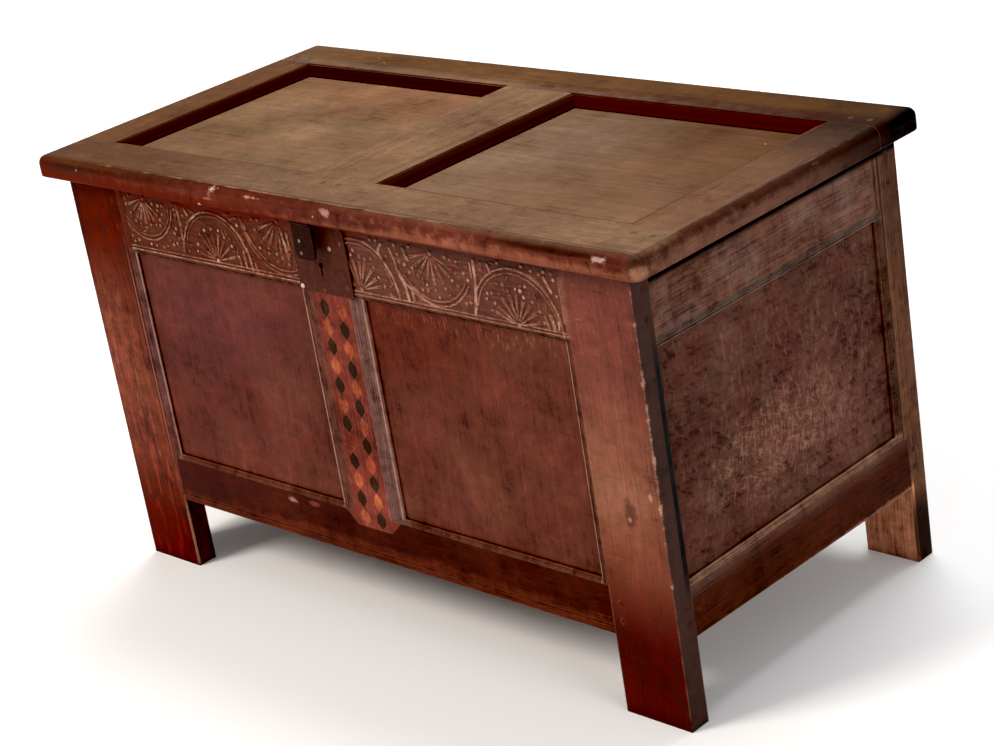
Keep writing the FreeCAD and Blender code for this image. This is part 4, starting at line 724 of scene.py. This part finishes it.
finishes = {
    "lidRailOak": ["lid_rail_front", "lid_rail_back"],
    "lidStileOak": ["lid_stile_left", "lid_stile_right", "lid_muntin"],
    "lidPanelOak": ["lid_panel_left", "lid_panel_right"],
    "leftPostOak": ["post_front_left"],
    "rightPostOak": ["post_front_right"],
    "friezeOak": ["rail_front_top"],
    "bottomRailOak": ["rail_front_bottom"],
    "muntinOak": ["muntin_front"],
    "frontPanelOak": ["panel_front_left", "panel_front_right"],
    "sideFrameOak": [
        "rail_side_top_left", "rail_side_top_right", "rail_side_bottom_left", "rail_side_bottom_right",
    ],
    "backPostOak": ["post_back_left", "post_back_right", "edge_strip_left", "edge_strip_right"],
    "sidePanelOak": ["panel_side_left", "panel_side_right"],
    "dryOak": ["rail_back_top", "rail_back_bottom", "panel_back_left", "panel_back_right"],
    "dryUprightOak": ["muntin_back"],
    "dryFloorOak": ["floor_board_1", "floor_board_2", "floor_board_3", "floor_board_4"],
    "frontPegOak": ["pegs_front", "pegs_back"],
    "sidePegOak": ["pegs_sides"],
    "lidPegOak": ["pegs_lid"],
    "bogOak": ["inlay_dark"],
    "fruitwood": ["inlay_light"],
    "plateIron": ["lock_plate"],
    "haspIron": ["hasp_leaf", "hasp_strap", "hasp_pin"],
    "nailIron": ["lock_nails", "lock_rivet"],
    "stapleIron": ["hasp_staple"],
    "hingeIron": [
        "hinge_leaf_back_left", "hinge_leaf_back_right", "hinge_leaf_lid_left", "hinge_leaf_lid_right",
        "hinge_pin_left", "hinge_pin_right", "hinge_nails_back", "lid_nails",
        "lock_case", "lock_key_pin", "lock_bolt", "lock_bolt_guides", "lock_spring",
    ],
}
for finish, members in finishes.items():
    for member in members:
        nodes[member].material_slots[0].material = {**oaks, **irons}[finish]
print("finishes laid on")

# the frieze: lunettes of rays and beads, cut with gouge and punch; the ground is sunk and the ribs stay at
# the face of the rail
frieze = {
    "boards": {"Left": (-400, -50), "Right": (44, 400)},  # mm, the lock plate lies between them
    "height": (483, 577),
    "front": -240,
    "thick": 4,
    "cell": 0.75,
    "field": (-391, 395, 481, 566),  # sunk ground: left, right, bottom, top
    "sunk": 1.6,
    "rough": 0.1,  # tool marks in the ground, as a share of its depth
    "seed": 7,
    # heart of each fan, its bow's radius and turn from and to, its rays' turns, where the rays begin and end
    "fans": [
        ((-346, 560), (58, 190, 350), (199, 217, 235, 251, 267, 283, 300, 320), (7, 33)),
        ((-210, 491), (66, 14, 168), (16, 38, 57, 76, 94, 112, 131, 151, 166), (7, 36)),
        ((-78, 562), (72, 190, 292), (202, 220, 238, 255, 272, 288), (8, 40)),
        ((60, 491), (66, 14, 112), (14, 31, 48, 66, 84, 102, 118), (7, 38)),
        ((191, 556), (66, 214, 330), (194, 213, 233, 254, 274, 294, 316, 338), (6, 36)),
        ((321, 486), (69, 10, 166), (13, 31, 49, 68, 86, 104, 124, 146, 164), (7, 36)),
    ],
    "bows": ((0, 2.0), (-5.5, 1.4)),  # each bow's two ribs: how far off the radius, width
    "bowSteps": 26,
    "ray": 1.25,  # mm wide, two to a petal
    "petal": 1.4,  # mm, half the spread of the two at their end
    "beads": {"heart": 3.2, "tip": 2.2, "past": 6},  # radii, and how far past its ray's end one lies
    "wobble": {"bow": 0.35, "turn": 1.6, "reach": 1.8, "tip": 0.25, "loose": 0.4},  # by hand, not ruled
    # straight and bent ribs: points in mm, then width
    "ribs": [
        ([(-276, 559), (-274, 530), (-277, 494)], 4.0), ([(-262, 557), (-256, 548)], 3.6),
        ([(-252, 556), (-243, 552)], 3.0), ([(-261, 536), (-250, 543), (-240, 549)], 2.8),
        ([(-168, 544), (-158, 534), (-149, 526)], 3.0), ([(-158, 556), (-170, 552)], 3.0),
        ([(-148, 556), (-142, 538), (-137, 524)], 3.6), ([(-146, 516), (-143, 500), (-142, 488)], 3.8),
        ([(-155, 510), (-153, 490)], 3.4), ([(-135, 497), (-133, 488)], 4.4),
        ([(-164, 500), (-163, 490)], 3.2), ([(-73, 552), (-70, 532), (-66, 512)], 3.6),
        ([(-63, 548), (-61, 526)], 2.8), ([(54, 557), (80, 556), (98, 546), (101, 543)], 2.6),
        ([(109, 557), (102, 548), (103, 542), (112, 530), (121, 515), (126, 498), (127, 488)], 3.6),
        ([(122, 554), (128, 540), (131, 526), (142, 513)], 2.8), ([(146, 556), (149, 545), (152, 543)], 3.6),
        ([(112, 492), (117, 489)], 6.0), ([(134, 520), (140, 508), (143, 490)], 4.6),
        ([(150, 506), (152, 490)], 4.0), ([(160, 505), (164, 494)], 3.0),
        ([(139, 512), (158, 504), (172, 494), (186, 490)], 3.0),
        ([(262, 557), (261, 530), (257, 505), (253, 489)], 4.2), ([(256, 554), (256, 536)], 2.2),
        ([(284, 555), (288, 546)], 4.0),
        ([(328, 556), (356, 549), (371, 536), (381, 518), (388, 498), (391, 486)], 3.0),
        ([(371, 552), (380, 536)], 3.6), ([(374, 506), (378, 490)], 5.4), ([(365, 504), (369, 491)], 3.6),
        ([(386, 504), (384, 490)], 3.0), ([(393, 556), (394, 500)], 2.0), ([(-391, 489), (-50, 489)], 1.8),
        ([(-391, 484.5), (-50, 484.5)], 1.8), ([(44, 488), (395, 488)], 1.8), ([(44, 484), (395, 484)], 1.8),
    ],
    "looseBeads": {"tries": 2600, "field": (-386, 390, 494, 561), "apart": 42, "room": 4.5},  # apart in mm²
    "nicks": {"tries": 440, "field": (-386, 390, 494, 560), "room": 3.5, "width": 1.0},  # short gouge cuts
}


def polar(heart, away, turn):
    return heart[0] + away * math.cos(turn), heart[1] + away * math.sin(turn)


def apartSquared(one, other):
    return (one[0] - other[0]) ** 2 + (one[1] - other[1]) ** 2


def ramp(value, low, high):
    t = np.clip((value - low) / (high - low), 0, 1)
    return t * t * (3 - 2 * t)


def carveHeights(x, z, spec):
    rng = np.random.default_rng(spec["seed"])
    raised, bright = np.zeros_like(x), np.zeros_like(x)
    wobble, beads = spec["wobble"], spec["beads"]

    def around(at, wide, tall):
        return (np.abs(x - at[0]) < wide) & (np.abs(z - at[1]) < tall)

    # a rib's or bead's top tint: rubbed pale, with a painted highlight
    def leaveStanding(near, lift, rubbed):
        raised[near] = np.maximum(raised[near], lift)
        bright[near] = np.maximum(bright[near], lift * rubbed)

    def rib(points, width):
        points = [np.array(p, float) for p in points]
        rubbed = rng.uniform(0.5, 1.3)
        for a, b in zip(points, points[1:]):
            near = around((a + b) / 2, *(np.abs(b - a) / 2 + 5))
            dx, dz = x[near] - a[0], z[near] - a[1]
            run = b - a
            t = np.clip((dx * run[0] + dz * run[1]) / (run @ run), 0, 1)
            away = np.hypot(dx - t * run[0], dz - t * run[1])
            leaveStanding(near, np.clip((width / 2 + 0.8 - away) / 1.1, 0, 1), rubbed)

    def bead(at, radius):
        near = around(at, radius + 2, radius + 2)
        away = np.hypot(x[near] - at[0], z[near] - at[1])
        leaveStanding(near, np.sqrt(np.clip(1 - (away / (radius + 0.5)) ** 2, 0, 1)), rng.uniform(0.7, 1.9))

    for heart, (radius, start, end), turns, (inner, reach) in spec["fans"]:
        for off, width in spec["bows"]:
            steps = np.radians(np.linspace(start, end, spec["bowSteps"]))
            shaken = rng.normal(0, wobble["bow"], steps.size)
            rib([polar(heart, radius + off + by, turn) for turn, by in zip(steps, shaken)], width)
        for turn in turns:
            turn = math.radians(turn + rng.normal(0, wobble["turn"]))
            outer = reach + rng.normal(0, wobble["reach"])
            root, tip = polar(heart, inner, turn), polar(heart, outer, turn)
            for way in (-spec["petal"], spec["petal"]):
                rib([root, (tip[0] - way * math.sin(turn), tip[1] + way * math.cos(turn))], spec["ray"])
            size = beads["tip"] + rng.normal(0, wobble["tip"])
            bead(polar(heart, outer + beads["past"], turn), size)
        bead(heart, beads["heart"])
    for points, width in spec["ribs"]:
        rib(points, width)

    # loose beads wherever the ground is still bare, only a few of them inside the fans
    loose, placed = spec["looseBeads"], []
    left, right, bottom, top = loose["field"]
    for attempt in range(loose["tries"]):
        at = (rng.uniform(left, right), rng.uniform(bottom, top))
        inFan = any(
            apartSquared(at, heart) < (bow[0] + 5) ** 2 and abs(at[0] - heart[0]) < 60
            for heart, bow, turns, reach in spec["fans"]
        )
        if inFan and attempt % 4 or any(apartSquared(at, other) < loose["apart"] for other in placed):
            continue
        near = around(at, loose["room"], loose["room"])
        if near.any() and raised[near].max() < 0.2:
            placed.append(at)
            bead(at, beads["tip"] + rng.normal(0, wobble["loose"]))

    nicks = spec["nicks"]
    left, right, bottom, top = nicks["field"]
    for _ in range(nicks["tries"]):
        at = (rng.uniform(left, right), rng.uniform(bottom, top))
        turn, half = rng.uniform(0, math.pi), rng.uniform(2, 4)
        near = around(at, nicks["room"], nicks["room"])
        if near.any() and raised[near].max() < 0.3:
            rib([polar(at, -half, turn), polar(at, half, turn)], nicks["width"])

    left, right, bottom, top = spec["field"]
    sunk = ramp(x, left - 1, left + 1) * ramp(x, right + 1, right - 1)
    sunk = sunk * ramp(z, bottom - 1, bottom + 1) * ramp(z, top + 3, top - 1)
    marks = spec["rough"] * rng.random(x.shape)
    level = sunk * (raised - 1)
    tint = np.where(sunk > 0.5, np.where(raised > 0.5, bright, level), 0)
    return spec["sunk"] * (level - marks * sunk * (1 - raised)), tint


def pushIn(bm, made, depth):  # moves what an extrusion made into the wood
    points = [v for v in made if isinstance(v, bmesh.types.BMVert)]
    bmesh.ops.translate(bm, verts=points, vec=(0, depth, 0))


def makeFrieze():
    low, high = (v * mm for v in frieze["height"])
    front, thick = frieze["front"] * mm, frieze["thick"] * mm
    inner = [frieze["boards"]["Left"][1] * mm, frieze["boards"]["Right"][0] * mm]

    # the rail, with a shallow bed for each carved board
    bm = bmesh.new()
    bm.from_mesh(nodes["rail_front_top"].data)
    bmesh.ops.remove_doubles(bm, verts=bm.verts, dist=tiny)
    for edge in inner:
        everything = bm.verts[:] + bm.edges[:] + bm.faces[:]
        cut = {"dist": tiny / 10, "plane_co": (edge, 0, 0), "plane_no": (1, 0, 0)}
        bmesh.ops.bisect_plane(bm, geom=everything, **cut)
    bed = []
    for face in bm.faces:
        middle = face.calc_center_median()
        outward = face.normal.y < -0.99 and abs(middle.y - front) < tiny * 10
        if outward and middle.z > low and not inner[0] < middle.x < inner[1]:
            bed.append(face)
    pushIn(bm, bmesh.ops.extrude_face_region(bm, geom=bed)["geom"], thick)
    left = [face for face in bed if face.is_valid]
    if left:
        bmesh.ops.delete(bm, geom=left, context="FACES")
    bmesh.ops.recalc_face_normals(bm, faces=bm.faces)
    rail = addPiece(bm, "friezeRail", oaks["friezeOak"])
    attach(rail, "carcass")
    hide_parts("rail_front_top")

    for side, ends in frieze["boards"].items():
        start, end = (v * mm for v in ends)
        bm = bmesh.new()
        place = Matrix.Translation(((start + end) / 2, front, (low + high) / 2))
        place = place @ Matrix.Rotation(math.radians(90), 4, "X")
        place = place @ Matrix.Diagonal((end - start, high - low, 1, 1))
        steps = [round(length / (frieze["cell"] * mm)) for length in (end - start, high - low)]
        bmesh.ops.create_grid(bm, x_segments=steps[0], y_segments=steps[1], size=0.5, matrix=place)
        rim = [e for e in bm.edges if e.is_boundary]
        pushIn(bm, bmesh.ops.extrude_edge_only(bm, edges=rim)["geom"], thick)
        bmesh.ops.holes_fill(bm, edges=[e for e in bm.edges if e.is_boundary], sides=0)
        bmesh.ops.recalc_face_normals(bm, faces=bm.faces)
        board = addPiece(bm, "carvedFrieze" + side, oaks["friezeOak"])
        mesh = board.data
        spots = np.empty(len(mesh.vertices) * 3, np.float32)
        mesh.vertices.foreach_get("co", spots)
        spots = spots.reshape(-1, 3)
        face = np.abs(spots[:, 1] - front) < tiny
        depth, tint = carveHeights(spots[face, 0] / mm, spots[face, 2] / mm, frieze)
        rim = (np.abs(spots[face, 2] - low) < tiny) | (np.abs(spots[face, 2] - high) < tiny)
        spots[face, 1] -= np.where(rim, 0, depth) * mm
        mesh.vertices.foreach_set("co", spots.ravel())
        attribute = mesh.attributes.new("carve", "FLOAT", "POINT")
        values = np.zeros(len(mesh.vertices), np.float32)
        values[face] = tint
        attribute.data.foreach_set("value", values)
        mesh.polygons.foreach_set("use_smooth", [p.normal.y < -0.3 for p in mesh.polygons])
        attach(board, "carcass")


makeFrieze()
print("frieze carved")

# reeds and a bead, run with a scratch stock along the inner edges of the front frames and the side frames
reeding = {
    "slope": 5.0,  # mm, how deep the chamfer under the reeds falls over its width
    "crests": (0.86, 0.715, 0.57, 0.425),  # shares of the width
    "reed": (0.07, 1.0),  # half width as a share, height in mm
    "reedShape": ((1, 0.03), (0.6, 0.7), (0, 1), (-0.6, 0.7), (-1, 0.03)),  # across and up, as shares
    "bead": (0.13, 0.12, 1.7),  # place and half width as shares, height in mm
    "beadShape": ((1, 0.02), (0.7, 0.65), (0, 1), (-0.7, 0.75), (-1, 0.2)),
    "deepest": 6.9,  # mm, at the bottom of the bead
    "back": (0.9, 3.5),  # share of the width and depth in mm, hidden in the frame
    "front": -240,  # mm, faces of the front and side frames
    "side": 500,
    # face it lies in, the opening's sides, the edge's width at its left, right, bottom and top
    "openings": {
        "FrontLeft": ("front", (-388, -58), (177, 476), (12, 27, 7, 7)),
        "FrontRight": ("front", (58, 388), (177, 476), (27, 12, 7, 7)),
        "SideRight": ("right", (-210, 205), (186, 474), (0, 12, 8, 15)),
        "SideLeft": ("left", (-210, 205), (186, 474), (0, 12, 8, 15)),
    },
}


def makeReeding():
    front, side = reeding["front"], reeding["side"]
    half, height = reeding["reed"]
    steps = []
    for crest in reeding["crests"]:
        steps += [(crest + half * way, height * lift) for way, lift in reeding["reedShape"]]
    middle, half, height = reeding["bead"]
    steps += [(middle + half * way, height * lift) for way, lift in reeding["beadShape"]]
    profile = [(share, max(0.0, reeding["slope"] * (1 - share) - lift)) for share, lift in steps]
    profile += [(profile[-1][0], reeding["deepest"]), reeding["back"]]
    for name, (plane, across, upright, (left, right, low, high)) in reeding["openings"].items():
        bm = bmesh.new()
        loops = []
        for share, depth in profile:
            u = (across[0] - left * share, across[1] + right * share)
            v = (upright[0] - low * share, upright[1] + high * share)
            ring = []
            for a, b in ((u[0], v[0]), (u[1], v[0]), (u[1], v[1]), (u[0], v[1])):
                faces = {"front": (a, depth + front, b), "right": (side - depth, a, b)}
                faces["left"] = (depth - side, a, b)
                ring.append(bm.verts.new([c * mm for c in faces[plane]]))
            closing = ring[:1] if left else []  # the side frames have no edge along their front post
            loops.append([bm.edges.new(pair) for pair in zip(ring, ring[1:] + closing)])
        for one, other in zip(loops, loops[1:] + loops[:1]):
            bmesh.ops.bridge_loops(bm, edges=one + other)
        if not left:
            bmesh.ops.holes_fill(bm, edges=[e for e in bm.edges if e.is_boundary], sides=0)
        bmesh.ops.recalc_face_normals(bm, faces=bm.faces)
        finish = oaks["edgeMouldingOak" if plane == "front" else "sideMouldingOak"]
        edge = addPiece(bm, "reededEdge" + name, finish)
        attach(edge, "carcass")


makeReeding()
print("reeded edges run")
